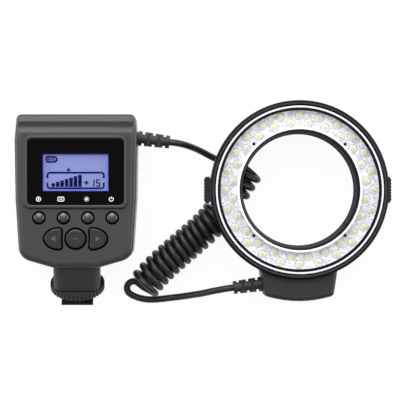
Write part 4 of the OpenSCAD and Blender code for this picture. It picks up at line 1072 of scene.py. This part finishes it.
def pad_outline(inset):
    """The upper half of the pad's outline from its root to the ribs, then its mirror image."""
    half, face, corner = PAD_HALF - inset, PAD_FACE - inset, PAD_CORNER - inset
    upper = [(PAD_ROOT, PAD_NECK), (PAD_FLARE, PAD_NECK), (PAD_FLARE + inset, half)]
    for k in range(CORNER_STEPS + 1):
        angle = math.pi / 2 * (1 - k / CORNER_STEPS)
        upper.append((face - corner + corner * math.cos(angle), half - corner + corner * math.sin(angle)))
    upper.reverse()
    ribs_half = PAD_HALF - PAD_CORNER
    ribs = []
    for k in range(1, RIBS * RIB_STEPS):
        bump = math.sin(math.pi * (k % RIB_STEPS) / RIB_STEPS) ** 0.5
        ribs.append((face + RIB_OUT * bump, ribs_half * (2 * k / (RIBS * RIB_STEPS) - 1)))
    return upper + [(x, -y) for x, y in reversed(upper)] + ribs


for side, word in ((-1, "left"), (1, "right")):
    def placed(x, y, z):
        return head_place @ Vector((side * x, y, z))

    arm = bpy.data.objects[f"release_lever_{word}"]
    lever = add_object(f"ribbed_lever_{word}", arm.data.copy())
    lever.data.transform(arm.matrix_world)
    lever.data.materials.clear()
    lever.data.materials.append(foot_black)
    near, far = PAD_FACE - TRIM_IN, PAD_FACE + TRIM_OUT
    box = [(near, -TRIM_HALF), (far, -TRIM_HALF), (far, TRIM_HALF), (near, TRIM_HALF)]
    rows = [[placed(x, y, z) for x, y in box[::side]] for z in (PAD_LOW - TRIM_PAST, PAD_TOP + TRIM_PAST)]
    combine(lever, loft("cutter", rows, foot_black))
    levels = ((PAD_LOW, PAD_EDGE), (PAD_LOW + PAD_EDGE, 0), (PAD_TOP - PAD_EDGE, 0), (PAD_TOP, PAD_EDGE))
    rows = [[placed(x, y, z) for x, y in pad_outline(inset)[::side]] for z, inset in levels]
    combine(lever, loft("pad", rows, foot_black), "UNION")
    smooth(lever)
    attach(lever, f"release_lever_{word}")
    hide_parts(f"release_lever_{word}")
    print(lever.name, len(lever.data.polygons))

# %% [markdown]
# ## Release springs
# Behind each release lever a small coil spring leans on the collar; it's attached to the root and stays
# still when the lever is pressed.

# %% Release springs
SPRING_FOOT, SPRING_HEAD, SPRING_Z = 46.4, 48.8, 13.2
SPRING_COIL_R, SPRING_WIRE, SPRING_TURNS, SPRING_STEPS = 1.1, 0.4, 5, 16
for side, word in ((-1, "left"), (1, "right")):
    spring_line = []
    for j in range(SPRING_TURNS * SPRING_STEPS + 1):
        turn = 2 * math.pi * j / SPRING_STEPS
        out = SPRING_FOOT + (SPRING_HEAD - SPRING_FOOT) * j / (SPRING_TURNS * SPRING_STEPS)
        spring_line.append(head_place @ Vector((side * out, SPRING_COIL_R * math.cos(turn),
                                                SPRING_Z + SPRING_COIL_R * math.sin(turn))))
    wire = tube("wire", spring_line, SPRING_WIRE, zinc)
    graph = bpy.context.evaluated_depsgraph_get()
    wire_mesh = bpy.data.meshes.new_from_object(wire.evaluated_get(graph))
    bpy.data.objects.remove(wire)
    spring = add_object(f"lever_spring_{word}", wire_mesh)
    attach(spring, "root")
    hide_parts(f"release_spring_{word}")
    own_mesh(spring)
    print(spring.name, len(wire_mesh.polygons))

# %% [markdown]
# ## Table, light and camera
# The things lie on a white table and are seen from straight above through a long lens. Four large soft
# lamps and a pale sky, brighter towards the unit's upper end, give broad, gentle highlights.

# %% Table
TABLE_HALF, TABLE_Z, TABLE_GLOW = 2500, -0.05, 0.94
table_finish = new_finish("white table", "#f6f6f6", 0.8)
table_glow = add_node(table_finish, "ShaderNodeEmission")
table_glow.inputs["Color"].default_value = (1, 1, 1, 1)
ray = add_node(table_finish, "ShaderNodeLightPath").outputs
table_seen = sums(table_finish, "MAXIMUM", ray["Is Camera Ray"], ray["Is Glossy Ray"])
table_seen = sums(table_finish, "MAXIMUM", table_seen, ray["Is Transmission Ray"])
table_share = sums(table_finish, "MULTIPLY", table_seen, TABLE_GLOW)
mix_shaders(table_finish, table_share, shader_of(table_finish).outputs[0], table_glow.outputs[0])
table_corners = [(sx * TABLE_HALF, sy * TABLE_HALF, TABLE_Z)
                 for sx, sy in ((-1, -1), (1, -1), (1, 1), (-1, 1))]
table = new_piece("table", table_corners, [(0, 1, 2, 3)], table_finish)
print("table half width, mm:", TABLE_HALF)

# %% Light
SKY_RANGE = (("From Min", -0.7), ("From Max", 0.8), ("To Min", 0.32), ("To Max", 1.6))
world = bpy.data.worlds.new("pale sky")
world.use_nodes = True
sky = world.node_tree
sky_place = sky.nodes.new("ShaderNodeTexCoord")
sky_split = sky.nodes.new("ShaderNodeSeparateXYZ")
sky_level = sky.nodes.new("ShaderNodeMapRange")
for socket, value in SKY_RANGE:
    sky_level.inputs[socket].default_value = value
sky.nodes["Background"].inputs["Color"].default_value = (1, 1, 1, 1)
sky.links.new(sky_place.outputs["Generated"], sky_split.inputs[0])
sky.links.new(sky_split.outputs["Y"], sky_level.inputs["Value"])
sky.links.new(sky_level.outputs[0], sky.nodes["Background"].inputs["Strength"])
bpy.context.scene.world = world


def soft_lamp(name, place, size, power):
    light = bpy.data.lights.new(name, "AREA")
    light.shape = "DISK"
    light.size = size
    light.energy = power
    lamp = add_object(name, light)
    lamp.location = place
    lamp.rotation_euler = (Vector((0, 0, 0)) - Vector(place)).to_track_quat("-Z", "Y").to_euler()


soft_lamp("key lamp", (-0.2, 0.7, 1.15), 1.0, 8.5)
soft_lamp("low lamp", (-0.15, 1.1, 0.2), 0.8, 5)
soft_lamp("left lamp", (-1.0, 0.1, 0.35), 0.8, 5)
soft_lamp("right lamp", (1.0, 0.1, 0.35), 0.8, 5)
print("lamps:", len(bpy.data.lights))

# %% Camera
CAMERA_X, CAMERA_Y, CAMERA_HEIGHT = -2.61, 1.7, 1500.0
FIELD, FIELD_Z, SENSOR, FAR_END = 234.0, 33.0, 36, 20
camera_data = bpy.data.cameras.new("photo camera")
camera_data.sensor_width = SENSOR
camera_data.lens = SENSOR * (CAMERA_HEIGHT - FIELD_Z) / FIELD
camera_data.clip_end = FAR_END
camera = add_object("photo camera", camera_data)
camera.location = (CAMERA_X * MM, CAMERA_Y * MM, CAMERA_HEIGHT * MM)
bpy.context.scene.camera = camera
bpy.context.scene.view_settings.view_transform = "Standard"
print("lens, mm:", round(camera_data.lens))
